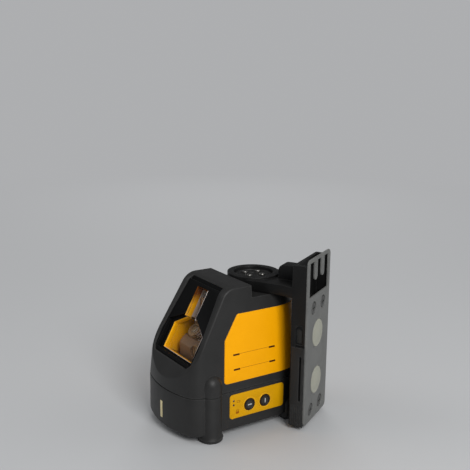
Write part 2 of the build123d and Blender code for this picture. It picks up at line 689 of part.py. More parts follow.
def lower_pane():
    """Wide clear pane that the beams leave through."""
    front = pane_back() - GASKET_THICK
    return on_slope(pane_outline(PANE_LEDGE), front - PANE_THICK, front)


def upper_pane():
    """Narrow clear pane above it, for the vertical line's upper part."""
    pane = [(x - GLUE_GAP, s) for x, s in slot_outline(0)]
    pane[1] = (pane[1][0], pane[1][1] - GLUE_GAP)
    return on_slope(pane, -WALL, -WALL + SLOT_PANE_THICK)


def base_housing():
    """Lower shell: floor, columns down to the feet, keypad seat, lock slot and battery opening."""
    outer = extrude(plan_face(0, BASE_BOTTOM), amount=SEAM - BASE_BOTTOM)
    outer = fillet(outer.edges().group_by(Axis.Z)[0], BASE_ROUND)
    shell = outer - extrude(plan_face(WALL, BASE_FLOOR), amount=SEAM - BASE_FLOOR)
    inside = extrude(plan_face(WALL, BASE_FLOOR), amount=SEAM - BASE_FLOOR)
    feet = column(PAD_HEIGHT, SEAM)
    flare = Pos(COLUMN_X, COLUMN_Y, (PAD_HEIGHT + BASE_BOTTOM) / 2) * Cone(
        COLUMN_RADIUS + FOOT_FLARE, COLUMN_RADIUS, BASE_BOTTOM - PAD_HEIGHT)
    feet += both_sides(flare)
    dome_z = REAR_FOOT_TOP - REAR_FOOT_RADIUS
    rear = rod_z(REAR_FOOT_X, REAR_FOOT_Y, PAD_HEIGHT, dome_z, REAR_FOOT_RADIUS)
    rear += Pos(REAR_FOOT_X, REAR_FOOT_Y, dome_z) * Sphere(REAR_FOOT_RADIUS)
    rear &= block(-FAR, FAR, -FAR, FAR, PAD_HEIGHT, FAR)
    shell += (feet + both_sides(rear)) - inside
    for x, y in BOSS_SPOTS:
        shell += rod_z(x, y, BASE_FLOOR, SEAM, BOSS_RADIUS)
    for x, y in FRAME_SPOTS:
        shell += rod_z(x, y, BASE_FLOOR, FRAME_BOTTOM, FRAME_POST_RADIUS)
    insert_low = INSERT_FLOOR + PAD_INSET
    shell += rod_z(0, 0, insert_low, INSERT_FLOOR + INSERT_LENGTH + WALL, TRIPOD_BOSS)
    for y, z in KEYPAD_POSTS:
        shell += rod_x(KEYPAD_BOARD_X, INSIDE + BOSS_BITE, y, z, POST_RADIUS)
    return shell - base_cuts() + hinge_ears()


def base_cuts():
    """Everything taken out of the lower shell."""
    seat = BASE_BOTTOM + SCREW_SEAT
    cuts = [keypad_plate(GLUE_GAP, KEYPAD_SEAT, KEYPAD_FACE + WALL)]
    cuts += [rod_x(INSIDE - WALL, FAR, y, BUTTON_Z, BUTTON_RADIUS + SLIDE_GAP) for y in BUTTON_YS]
    cuts += [rod_x(INSIDE - WALL, FAR, LENS_Y, z, LENS_RADIUS + GLUE_GAP) for z in LENS_ZS]
    for y, z in KEYPAD_POSTS:
        cuts.append(rod_x(KEYPAD_BOARD_X - WALL, INSIDE, y, z, BOARD_SCREW_RADIUS + GLUE_GAP))
    for x, y in BOSS_SPOTS:
        cuts.append(rod_z(x, y, 0, seat, SCREW_HEAD + SLIDE_GAP))
        cuts.append(rod_z(x, y, seat, SEAM, SCREW_RADIUS + GLUE_GAP))
    for x, y in FRAME_SPOTS:
        cuts.append(rod_z(x, y, FRAME_BOTTOM - SCREW_GRIP - SCREW_END, FRAME_BOTTOM, SCREW_RADIUS + GLUE_GAP))
    cuts.append(rod_z(0, 0, 0, INSERT_FLOOR + INSERT_LENGTH, INSERT_RADIUS + GLUE_GAP))
    cuts.append(index_mark_shape(GLUE_GAP))
    cuts.append(lock_slot())
    bay_rear = HINGE_Y - KNUCKLE_RADIUS + SLIDE_GAP
    cuts.append(block(-TRAY_HALF, TRAY_HALF, TRAY_FRONT, bay_rear, 0, BASE_FLOOR))
    hinge_half = KNUCKLE_HALF + EAR_WIDTH + 2 * SLIDE_GAP
    hinge_rear = HINGE_Y + KNUCKLE_RADIUS + SLIDE_GAP
    cuts.append(block(-hinge_half, hinge_half, DOOR_REAR, hinge_rear, 0, BASE_FLOOR))
    return joined(cuts)


def hinge_ears():
    """Two ears in the base's floor that carry the battery door's pin."""
    inner = KNUCKLE_HALF + SLIDE_GAP
    ear = rod_x(inner, inner + EAR_WIDTH, HINGE_Y, HINGE_Z, KNUCKLE_RADIUS)
    ear += block(inner, inner + EAR_WIDTH, HINGE_Y, HINGE_Y + 2 * KNUCKLE_RADIUS, BASE_BOTTOM, BASE_FLOOR)
    ear -= rod_x(0, FAR, HINGE_Y, HINGE_Z, DOOR_PIN_RADIUS + GLUE_GAP)
    return both_sides(ear)


def lock_slot():
    """Slot in the -X wall that the lock knob's neck runs in."""
    half = NECK_LENGTH / 2 + SLIDE_GAP
    height = NECK_HEIGHT / 2 + SLIDE_GAP
    return block(-FAR, -INSIDE + WALL, GIMBAL_Y - LOCK_TRAVEL - half, GIMBAL_Y + half,
                 KNOB_Z - height, KNOB_Z + height)


def rubber_feet():
    """Soft pads under the four columns."""
    pads = []
    for side in (-1, 1):
        pads.append(rod_z(side * COLUMN_X, COLUMN_Y, 0, PAD_HEIGHT, COLUMN_RADIUS + FOOT_FLARE - PAD_INSET))
        pads.append(rod_z(side * REAR_FOOT_X, REAR_FOOT_Y, 0, PAD_HEIGHT, REAR_FOOT_RADIUS - PAD_INSET))
    return group(pads)


def housing_screws():
    """Four long screws that draw the two housings together."""
    seat = BASE_BOTTOM + SCREW_SEAT
    length = SEAM + SCREW_GRIP - seat
    return group([
        screw_z(x, y, seat, SCREW_HEAD, SCREW_HEAD_HEIGHT, SCREW_RADIUS, length) for x, y in BOSS_SPOTS])


def index_mark_shape(grow):
    """Upright bar at the front centre of the base."""
    half = MARK_HALF + grow
    low = BASE_BOTTOM + MARK_LIFT - grow
    high = SEAM - MARK_DROP + grow
    return block(-half, half, -NOSE - MARK_PROUD, -NOSE + MARK_DEPTH + grow, low, high)


def keypad_plate(grow, x0, x1):
    """Rounded plate of the keypad between two depths."""
    plate = block(x0, x1, KEYPAD_FRONT - grow, KEYPAD_REAR + grow, KEYPAD_LOW - grow, KEYPAD_HIGH + grow)
    return fillet(plate.edges().filter_by(Axis.X), KEYPAD_CORNER)


def keypad_panel():
    """Yellow plate with holes for the buttons and indicator lenses."""
    panel = keypad_plate(0, KEYPAD_SEAT, KEYPAD_FACE)
    for y in BUTTON_YS:
        panel -= rod_x(0, FAR, y, BUTTON_Z, BUTTON_RADIUS + SLIDE_GAP)
    for z in LENS_ZS:
        panel -= rod_x(0, FAR, LENS_Y, z, LENS_RADIUS + GLUE_GAP)
    return panel


def button(y):
    """Round button with a flange inside the wall."""
    flange_top = INSIDE - 2 * SLIDE_GAP
    flange_low = flange_top - BUTTON_FLANGE_THICK
    cap = rod_x(flange_low - BUTTON_STUB, KEYPAD_FACE + BUTTON_PROUD, y, BUTTON_Z, BUTTON_RADIUS)
    return cap + rod_x(flange_low, flange_top, y, BUTTON_Z, BUTTON_RADIUS + BUTTON_FLANGE)


def keypad_board():
    """Small circuit board behind the buttons."""
    inset = KEYPAD_BOARD_INSET
    board = block(KEYPAD_BOARD_X - BOARD_THICK, KEYPAD_BOARD_X, KEYPAD_FRONT + inset, KEYPAD_REAR - inset,
                  KEYPAD_LOW - inset, KEYPAD_HIGH)
    for y, z in KEYPAD_POSTS:
        board -= rod_x(0, FAR, y, z, BOARD_SCREW_RADIUS + GLUE_GAP)
    return board


def keypad_switches():
    """Push switches that the buttons press."""
    half = SWITCH_SIZE / 2
    return group([
        block(KEYPAD_BOARD_X, KEYPAD_BOARD_X + SWITCH_HEIGHT, y - half, y + half, BUTTON_Z - half, BUTTON_Z + half)
        for y in BUTTON_YS])


def keypad_screws():
    """Screws that hold the keypad board to its posts."""
    back = KEYPAD_BOARD_X - BOARD_THICK
    return group([
        rod_x(back - BOARD_SCREW_HEAD_HEIGHT, back, y, z, BOARD_SCREW_HEAD)
        + rod_x(back, INSIDE - SCREW_END, y, z, BOARD_SCREW_RADIUS) for y, z in KEYPAD_POSTS])


def indicator_lenses():
    """Two small light pipes beside the buttons."""
    return group([rod_x(INSIDE, KEYPAD_FACE, LENS_Y, z, LENS_RADIUS) for z in LENS_ZS])


def battery_tray():
    """Open-bottomed box in the base that holds the cells."""
    wall = TRAY_WALL
    tray = block(-TRAY_HALF - wall, TRAY_HALF + wall, TRAY_FRONT - wall, TRAY_REAR + wall, BASE_FLOOR, TRAY_TOP)
    return tray - block(-TRAY_HALF, TRAY_HALF, TRAY_FRONT, TRAY_REAR, 0, TRAY_TOP - wall)


def cell_places():
    """X of each cell's axis."""
    pitch = 2 * CELL_RADIUS + CELL_GAP
    return [(i - (CELL_COUNT - 1) / 2) * pitch for i in range(CELL_COUNT)]


def battery_cells():
    """Row of cells side by side."""
    front = TRAY_FRONT + CONTACT_THICK
    return group([rod_y(x, front, front + CELL_LENGTH, CELL_Z, CELL_RADIUS) for x in cell_places()])


def battery_contacts():
    """Spring plates at both ends of each cell."""
    half = CELL_RADIUS / 2
    plates = []
    for x in cell_places():
        for y in (TRAY_FRONT, TRAY_REAR - CONTACT_THICK):
            plates.append(block(x - half, x + half, y, y + CONTACT_THICK, CELL_Z - half, CELL_Z + half))
    return group(plates)


def battery_door():
    """Flat door in the base's floor with a hinge knuckle at its rear edge."""
    half = TRAY_HALF - SLIDE_GAP
    top = BASE_BOTTOM + DOOR_THICK
    door = block(-half, half, TRAY_FRONT + SLIDE_GAP, DOOR_REAR, BASE_BOTTOM, top)
    door += block(-KNUCKLE_HALF, KNUCKLE_HALF, DOOR_REAR - DOOR_THICK, HINGE_Y, BASE_BOTTOM, top)
    door += rod_x(-KNUCKLE_HALF, KNUCKLE_HALF, HINGE_Y, HINGE_Z, KNUCKLE_RADIUS)
    return door - rod_x(-FAR, FAR, HINGE_Y, HINGE_Z, DOOR_PIN_RADIUS + RUNNING_GAP)


def battery_door_pin():
    """Steel pin through the ears and the door's knuckle."""
    reach = KNUCKLE_HALF + SLIDE_GAP + EAR_WIDTH
    return rod_x(-reach, reach, HINGE_Y, HINGE_Z, DOOR_PIN_RADIUS)


def tripod_insert():
    """Brass bush with a blind tripod thread."""
    bush = rod_z(0, 0, INSERT_FLOOR, INSERT_FLOOR + INSERT_LENGTH, INSERT_RADIUS)
    return bush - rod_z(0, 0, 0, INSERT_FLOOR + TRIPOD_DEPTH, TRIPOD_RADIUS)


def pendulum_frame():
    """Yellow inner frame: floor, two cheeks, rear wall and the bridge that carries the gimbal."""
    floor_top = FRAME_TOP_OF_FLOOR
    inner = FRAME_HALF - FRAME_WALL
    cheek_low = floor_top + CHEEK_LIFT
    cheek_front = slope_y(cheek_low) + CHEEK_BACK
    bridge_front = slope_y(BRIDGE_TOP) + CHEEK_BACK
    bridge_rear = -HOOD_REAR - WALL - SLIDE_GAP
    under_deck = DECK - WALL - FRAME_HEADROOM
    cheek = [(cheek_front, floor_top), (cheek_front, cheek_low), (bridge_front, BRIDGE_TOP),
             (bridge_rear, BRIDGE_TOP), (bridge_rear, under_deck), (FRAME_REAR, under_deck), (FRAME_REAR, floor_top)]
    rear_post_y = FRAME_POST_REAR[1] + FRAME_POST_RADIUS
    frame = block(-FRAME_HALF, FRAME_HALF, FRAME_FRONT, rear_post_y, FRAME_BOTTOM, floor_top)
    front_x, front_y = FRAME_POST_FRONT
    ear = block(FRAME_HALF - FRAME_WALL, front_x, front_y - FRAME_POST_RADIUS, front_y + FRAME_POST_RADIUS,
                FRAME_BOTTOM, floor_top)
    ear += rod_z(front_x, front_y, FRAME_BOTTOM, floor_top, FRAME_POST_RADIUS)
    frame += both_sides(ear)
    frame += slab_x(cheek, inner, FRAME_HALF) + slab_x(cheek, -FRAME_HALF, -inner)
    frame += block(-inner, inner, FRAME_REAR - FRAME_WALL, FRAME_REAR, floor_top, BOARD_HIGH + FRAME_WALL)
    frame += block(-inner, inner, bridge_front, bridge_rear, BRIDGE_LOW, BRIDGE_TOP)
    lug = block(LUG_INSIDE, LUG_INSIDE + BEARING_WIDTH, GIMBAL_Y - LUG_HALF, GIMBAL_Y + LUG_HALF,
                GIMBAL_Z - LUG_HALF, BRIDGE_LOW)
    frame += both_sides(lug)
    frame -= rod_x(-LUG_INSIDE - BEARING_WIDTH, LUG_INSIDE + BEARING_WIDTH, GIMBAL_Y, GIMBAL_Z,
                   BEARING_RADIUS + GLUE_GAP)
    frame -= rod_z(0, GIMBAL_Y, 0, floor_top, STEM_RADIUS + RUNNING_GAP)
    for x, y in FRAME_SPOTS:
        frame -= rod_z(x, y, 0, floor_top, SCREW_RADIUS + GLUE_GAP)
    for x, z in board_posts():
        frame += rod_y(x, FRAME_REAR - FRAME_WALL, FRAME_REAR + BOARD_POST, z, POST_RADIUS)
    for x, z in board_posts():
        frame -= rod_y(x, FRAME_REAR - SCREW_END, FAR, z, BOARD_SCREW_RADIUS + GLUE_GAP)
    return frame


def board_posts():
    """Places of the main board's posts, across and up."""
    heights = (BOARD_LOW + BOARD_POST_INSET, BOARD_HIGH - BOARD_POST_INSET)
    return [(side * (BOARD_HALF - BOARD_POST_INSET), z) for side in (-1, 1) for z in heights]


def frame_screws():
    """Screws through the frame's floor into the base's posts."""
    top = FRAME_TOP_OF_FLOOR
    return group([
        rod_z(x, y, top, top + SCREW_HEAD_HEIGHT, SCREW_HEAD)
        + rod_z(x, y, FRAME_BOTTOM - SCREW_GRIP, top, SCREW_RADIUS) for x, y in FRAME_SPOTS])


def main_circuit_board():
    """Main board on posts behind the frame's rear wall."""
    back = FRAME_REAR + BOARD_POST
    board = block(-BOARD_HALF, BOARD_HALF, back, back + BOARD_THICK, BOARD_LOW, BOARD_HIGH)
    for x, z in board_posts():
        board -= rod_y(x, -FAR, FAR, z, BOARD_SCREW_RADIUS + GLUE_GAP)
    return board


def board_chips():
    """Drivers and regulators on the main board."""
    face = FRAME_REAR + BOARD_POST + BOARD_THICK
    chips = []
    for share, lift, width, height in CHIP_SIZES:
        x = share * BOARD_HALF
        low = BOARD_LOW + lift - height / 2
        chips.append(block(x - width / 2, x + width / 2, face, face + CHIP_HEIGHT, low, low + height))
    return group(chips)


def board_screws():
    """Screws that hold the main board."""
    face = FRAME_REAR + BOARD_POST + BOARD_THICK
    return group([
        rod_y(x, face, face + BOARD_SCREW_HEAD_HEIGHT, z, BOARD_SCREW_HEAD)
        + rod_y(x, FRAME_REAR, face, z, BOARD_SCREW_RADIUS) for x, z in board_posts()])


def bearing_x(side):
    """Small bearing ring in one of the frame's lugs."""
    start = LUG_INSIDE if side > 0 else -LUG_INSIDE - BEARING_WIDTH
    ring = rod_x(start, start + BEARING_WIDTH, GIMBAL_Y, GIMBAL_Z, BEARING_RADIUS)
    return ring - rod_x(-FAR, FAR, GIMBAL_Y, GIMBAL_Z, PIN_RADIUS + RUNNING_GAP)


def bearing_y(side):
    """Small bearing ring in one of the pendulum's yoke arms."""
    start = GIMBAL_Y + (YOKE_INSIDE if side > 0 else -YOKE_INSIDE - BEARING_WIDTH)
    ring = rod_y(0, start, start + BEARING_WIDTH, GIMBAL_Z, BEARING_RADIUS)
    return ring - rod_y(0, -FAR, FAR, GIMBAL_Z, PIN_RADIUS + RUNNING_GAP)


def gimbal_block():
    """Cross block between the frame's pins and the pendulum's pins."""
    half = BLOCK_SIZE / 2
    body = Pos(0, GIMBAL_Y, GIMBAL_Z) * Box(BLOCK_SIZE, BLOCK_SIZE, BLOCK_HEIGHT)
    bore = PIN_RADIUS + GLUE_GAP
    for side in (-1, 1):
        inner, outer = sorted((side * half / 2, side * half))
        body -= rod_x(inner, outer, GIMBAL_Y, GIMBAL_Z, bore)
        body -= rod_y(0, GIMBAL_Y + inner, GIMBAL_Y + outer, GIMBAL_Z, bore)
    return body


def gimbal_pins():
    """Four pins pressed into the cross block."""
    start = BLOCK_SIZE / 4
    pins = []
    for side in (-1, 1):
        near, far = sorted((side * start, side * (LUG_INSIDE + BEARING_WIDTH)))
        pins.append(rod_x(near, far, GIMBAL_Y, GIMBAL_Z, PIN_RADIUS))
        near, far = sorted((side * start, side * (YOKE_INSIDE + BEARING_WIDTH)))
        pins.append(rod_y(0, GIMBAL_Y + near, GIMBAL_Y + far, GIMBAL_Z, PIN_RADIUS))
    return group(pins)


def pendulum_body():
    """Die-cast block that hangs from the gimbal and holds both laser modules."""
    body = block(-SWING_HALF, SWING_HALF, SWING_FRONT, SWING_REAR, SWING_LOW, SWING_TOP)
    body = fillet(body.edges().filter_by(Axis.Z), SWING_ROUND)
    head = block(-HEAD_HALF, HEAD_HALF, HEAD_FRONT, SWING_FRONT + SWING_ROUND, SWING_LOW, HEAD_TOP)
    head = chamfer(head.edges().filter_by(Axis.X).group_by(Axis.Z)[-1].sort_by(Axis.Y)[0], HEAD_CHAMFER)
    body += fillet(head.edges().filter_by(Axis.Z), HEAD_ROUND)
    for side in (-1, 1):
        start = GIMBAL_Y + (YOKE_INSIDE if side > 0 else -YOKE_INSIDE - BEARING_WIDTH)
        body += block(-YOKE_HALF, YOKE_HALF, start, start + BEARING_WIDTH, SWING_TOP, GIMBAL_Z + LUG_HALF)
    body -= rod_y(0, GIMBAL_Y - FAR, GIMBAL_Y + FAR, GIMBAL_Z, BEARING_RADIUS + GLUE_GAP)
    for module in (VERTICAL_MODULE, HORIZONTAL_MODULE):
        body -= beam_rod(module, -FAR / 10, module[-1], MODULE_RADIUS + GLUE_GAP)
    for side in (-1, 1):
        near, far = sorted((side * (SWING_HALF - BALANCE_GRIP - SCREW_END), side * SWING_HALF))
        body -= rod_x(near, far, GIMBAL_Y, BALANCE_Z, BALANCE_SHANK + GLUE_GAP)
    return body


def beam_rod(module, start, end, radius):
    """Cylinder along a module's beam, between two depths behind its front end."""
    x, y, z, tilt, length = module
    return Pos(x, y, z) * Rot(-tilt, 0, 0) * rod_y(0, start, end, 0, radius)


def laser_module(module):
    """Laser barrel with a seat for its line lens in the front end."""
    barrel = beam_rod(module, 0, module[-1], MODULE_RADIUS)
    return barrel - beam_rod(module, 0, LINE_LENS_LENGTH, LINE_LENS_RADIUS + GLUE_GAP)


def line_lens(module):
    """Cylinder lens that spreads the beam into a line."""
    return beam_rod(module, 0, LINE_LENS_LENGTH, LINE_LENS_RADIUS)


def damper_disc():
    """Copper foot of the pendulum, round underneath about the gimbal's centre."""
    disc = rod_z(0, GIMBAL_Y, DAMPER_LOW, SWING_LOW, DAMPER_RADIUS)
    return disc & (Pos(0, GIMBAL_Y, GIMBAL_Z) * Sphere(GIMBAL_Z - DAMPER_LOW))


def damper_magnet():
    """Ring magnet on the frame's floor that calms the pendulum."""
    low = FRAME_TOP_OF_FLOOR
    ring = rod_z(0, GIMBAL_Y, low, low + MAGNET_RING_HEIGHT, DAMPER_RADIUS)
    return ring - rod_z(0, GIMBAL_Y, 0, FAR, MAGNET_RING_BORE)


def balance_screws():
    """Brass trimming screws on the pendulum's sides."""
    screws = []
    for side in (-1, 1):
        near, far = sorted((side * SWING_HALF, side * (SWING_HALF + BALANCE_LENGTH)))
        head = rod_x(near, far, GIMBAL_Y, BALANCE_Z, BALANCE_RADIUS)
        near, far = sorted((side * (SWING_HALF - BALANCE_GRIP), side * SWING_HALF))
        screws.append(head + rod_x(near, far, GIMBAL_Y, BALANCE_Z, BALANCE_SHANK))
    return group(screws)


def ramp_height(y):
    """Height of the lock's ramp with the pendulum free."""
    return RAMP_MIDDLE + LOCK_SLOPE * (y - GIMBAL_Y)


def lock_slider():
    """Knob outside the -X wall, plate inside it and a ramped arm that reaches under the lock pad."""
    half = KNOB_LENGTH / 2
    knob = block(-HALF_WIDTH - KNOB_PROUD, -HALF_WIDTH - SLIDE_GAP / 3, GIMBAL_Y - half, GIMBAL_Y + half,
                 KNOB_Z - KNOB_HEIGHT / 2, KNOB_Z + KNOB_HEIGHT / 2)
    plate_x = -INSIDE + SLIDE_GAP / 3
    neck_half = NECK_LENGTH / 2
    neck = block(-HALF_WIDTH - KNOB_PROUD, plate_x + SLIDER_PLATE, GIMBAL_Y - neck_half, GIMBAL_Y + neck_half,
                 KNOB_Z - NECK_HEIGHT / 2, KNOB_Z + NECK_HEIGHT / 2)
    ramp_low = GIMBAL_Y - STEM_RADIUS - STEM_MARGIN
    ramp_high = GIMBAL_Y + STEM_RADIUS + LOCK_TRAVEL + STEM_MARGIN
    plate = block(plate_x, plate_x + SLIDER_PLATE, ramp_low, ramp_high, KNOB_Z - KNOB_HEIGHT / 2,
                  ARM_BOTTOM + SLIDER_PLATE)
    arm = block(plate_x, -STEM_RADIUS, ramp_low, ramp_high, ARM_BOTTOM, ARM_BOTTOM + SLIDER_PLATE)
    wedge = slab_x(
        [(ramp_low, ARM_BOTTOM), (ramp_low, ramp_height(ramp_low)), (ramp_high, ramp_height(ramp_high)),
         (ramp_high, ARM_BOTTOM)], -STEM_RADIUS - STEM_MARGIN, STEM_RADIUS + STEM_MARGIN)
    return knob + neck + plate + arm + wedge


def lock_pad():
    """Stem that the ramp lifts against the pendulum's foot, cut to the ramp's slope."""
    top = DAMPER_LOW - STEM_TOP_GAP
    stem = rod_z(0, GIMBAL_Y, ARM_BOTTOM, top, STEM_RADIUS)
    reach = STEM_RADIUS + STEM_MARGIN
    gap = 2 * GLUE_GAP
    below = slab_x(
        [(GIMBAL_Y - reach, 0), (GIMBAL_Y - reach, ramp_height(GIMBAL_Y - reach) + gap),
         (GIMBAL_Y + reach, ramp_height(GIMBAL_Y + reach) + gap), (GIMBAL_Y + reach, 0)], -reach, reach)
    return stem - below


def pivot_hub():
    """Hub that stands up through the deck, held by a flange below it."""
    low = DECK - WALL
    hub = rod_z(0, 0, low - HUB_FLANGE_THICK, low, HUB_FLANGE)
    hub += rod_z(0, 0, low, RETAINER_BOTTOM, HUB_RADIUS)
    for x, y in retainer_screw_places():
        hub -= rod_z(x, y, RETAINER_TOP - RETAINER_SCREW_GRIP - SCREW_END, FAR, RETAINER_SCREW_RADIUS + GLUE_GAP)
    return hub


def retainer_screw_places():
    """Screw circle of the retainer, in line with the arm at rest."""
    places = []
    for i in range(RETAINER_SCREWS):
        angle = radians(REST_HEADING) + 2 * pi * i / RETAINER_SCREWS
        places.append((RETAINER_SCREW_CIRCLE * cos(angle), RETAINER_SCREW_CIRCLE * sin(angle)))
    return places


def pivot_retainer():
    """Plate on top of the hub that keeps the bracket's ring down."""
    plate = rod_z(0, 0, RETAINER_BOTTOM, RETAINER_TOP, RING_RECESS - SLIDE_GAP)
    for x, y in retainer_screw_places():
        plate -= rod_z(x, y, 0, FAR, RETAINER_SCREW_RADIUS + GLUE_GAP)
    return plate


def retainer_screws():
    """Bright screws in the retainer."""
    return group([
        rod_z(x, y, RETAINER_TOP, RETAINER_TOP + RETAINER_HEAD_HEIGHT, RETAINER_SCREW_HEAD)
        + rod_z(x, y, RETAINER_TOP - RETAINER_SCREW_GRIP, RETAINER_TOP, RETAINER_SCREW_RADIUS)
        for x, y in retainer_screw_places()])


def washer(outer, low):
    """Flat washer round the hub."""
    ring = rod_z(0, 0, low, low + WASHER_THICK, outer)
    return ring - rod_z(0, 0, 0, FAR, HUB_RADIUS + SLIDE_GAP)


def turned(shape):
    """A bracket piece turned from +X to the rest heading."""
    return Rot(0, 0, REST_HEADING) * shape


def bracket_frame():
    """Round end, arm, gusset and hollow upright of the bracket."""
    join = UPRIGHT_INSIDE + UPRIGHT_WALL
    inner = PLATE_HALF - UPRIGHT_WALL
    widens = UPRIGHT_INSIDE - ARM_TAPER
    arm = [(0, -ARM_HALF), (widens, -ARM_HALF), (UPRIGHT_INSIDE, -PLATE_HALF), (join, -PLATE_HALF),
           (join, PLATE_HALF), (UPRIGHT_INSIDE, PLATE_HALF), (widens, ARM_HALF), (0, ARM_HALF)]
    frame = rod_z(0, 0, RING_BOTTOM, RING_TOP, RING_RADIUS) + slab_z(arm, RING_BOTTOM, ARM_TOP)
    gusset = block(RING_RADIUS + GUSSET_OFFSET, join, -GUSSET_HALF, GUSSET_HALF, ARM_TOP, ARM_TOP + GUSSET_HEIGHT)
    gusset = fillet(gusset.edges().filter_by(Axis.Y).group_by(Axis.X)[0].sort_by(Axis.Z)[-1:], GUSSET_ROUND)
    frame += gusset
    upright = block(UPRIGHT_INSIDE, PLATE_INSIDE, -PLATE_HALF, PLATE_HALF, PLATE_LOW, UPRIGHT_TOP)
    step_half = PLATE_HALF + SIDE_STEP
    upright += block(UPRIGHT_INSIDE + SIDE_STEP_EDGE, PLATE_INSIDE, -step_half, step_half, PLATE_LOW,
                     MAGNET_ZS[0] + SIDE_GROOVE[0])
    upright -= block(join, FAR, -inner, inner, PLATE_LOW + UPRIGHT_WALL, FAR)
    frame += upright
    for z in MAGNET_ZS:
        frame += rod_x(UPRIGHT_INSIDE, MAGNET_BACK - YOKE_DISC, 0, z, MAGNET_RADIUS - UPRIGHT_WALL)
    for y, z in plate_screw_places():
        frame += rod_x(UPRIGHT_INSIDE, PLATE_INSIDE - PLATE_PAD, y, z, PLATE_BOSS)
    for y, z in plate_screw_places():
        end = PLATE_INSIDE - PLATE_PAD - PLATE_SCREW_GRIP
        frame -= rod_x(end - SCREW_END, FAR, y, z, SCREW_RADIUS + GLUE_GAP)
    frame -= rod_z(0, 0, 0, FAR, RING_BORE) + rod_z(0, 0, RECESS_FLOOR, FAR, RING_RECESS)
    return frame - side_details()


def side_details():
    """Pocket, groove and long slot moulded into both sides of the upright."""
    upper, lower = MAGNET_ZS
    deep = PLATE_HALF - SIDE_POCKET_DEPTH
    shallow = PLATE_HALF - SIDE_CUT
    start = UPRIGHT_INSIDE + SIDE_EDGE
    slot = PLATE_INSIDE - SIDE_SLOT_EDGE
    cuts = block(start, start + SIDE_POCKET_LENGTH, deep, FAR, upper + SIDE_POCKET[0], upper + SIDE_POCKET[1])
    cuts += block(start, FAR, shallow, FAR, upper + SIDE_GROOVE[0], upper + SIDE_GROOVE[1])
    cuts += block(slot - SIDE_SLOT_WIDTH, slot, shallow, FAR, lower + SIDE_SLOT[0], lower + SIDE_SLOT[1])
    return cuts + mirror(cuts, about=Plane.XZ)


def plate_screw_places():
    """Back plate screws, across and up."""
    return [(side * PLATE_SCREW_X, z) for side in (-1, 1) for z in PLATE_SCREW_ZS]


def bracket_back_plate():
    """Grey back plate with hanging slots at the top, magnet holes and sunk screw seats."""
    plate = block(PLATE_INSIDE, PLATE_FACE, -PLATE_HALF, PLATE_HALF, PLATE_LOW, PLATE_TOP)
    plate = fillet(plate.edges().filter_by(Axis.X), PLATE_CORNER)
    opening = block(0, FAR, -OPENING_HALF, OPENING_HALF, OPENING_LOW, OPENING_TOP)
    for side in (-1, 1):
        y = side * FINGER_X
        finger = block(0, FAR, y - FINGER_HALF, y + FINGER_HALF, FINGER_LOW + FINGER_HALF, OPENING_TOP)
        opening -= finger + rod_x(0, FAR, y, FINGER_LOW + FINGER_HALF, FINGER_HALF)
    plate -= opening
    for z in MAGNET_ZS:
        plate -= rod_x(0, FAR, 0, z, MAGNET_RADIUS + GLUE_GAP)
    for y, z in plate_screw_places():
        plate += rod_x(PLATE_INSIDE - PLATE_PAD, PLATE_INSIDE, y, z, PLATE_SCREW_SEAT + PLATE_PAD_RIM)
    for y, z in plate_screw_places():
        plate -= rod_x(PLATE_FACE - PLATE_SCREW_SINK, FAR, y, z, PLATE_SCREW_SEAT)
        plate -= rod_x(0, FAR, y, z, SCREW_RADIUS + GLUE_GAP)
    return plate


def magnet(z):
    """Round magnet standing a little proud of the back plate."""
    return rod_x(MAGNET_BACK, MAGNET_BACK + MAGNET_THICK, 0, z, MAGNET_RADIUS)


def magnet_yokes():
    """Steel discs behind the magnets."""
    return [rod_x(MAGNET_BACK - YOKE_DISC, MAGNET_BACK, 0, z, MAGNET_RADIUS) for z in MAGNET_ZS]


def back_plate_screws():
    """Screws that hold the back plate."""
    seat = PLATE_FACE - PLATE_SCREW_SINK
    end = PLATE_INSIDE - PLATE_PAD - PLATE_SCREW_GRIP
    return [
        rod_x(seat, PLATE_FACE - 2 * GLUE_GAP, y, z, PLATE_SCREW_HEAD)
        + rod_x(end, seat, y, z, SCREW_RADIUS) for y, z in plate_screw_places()]


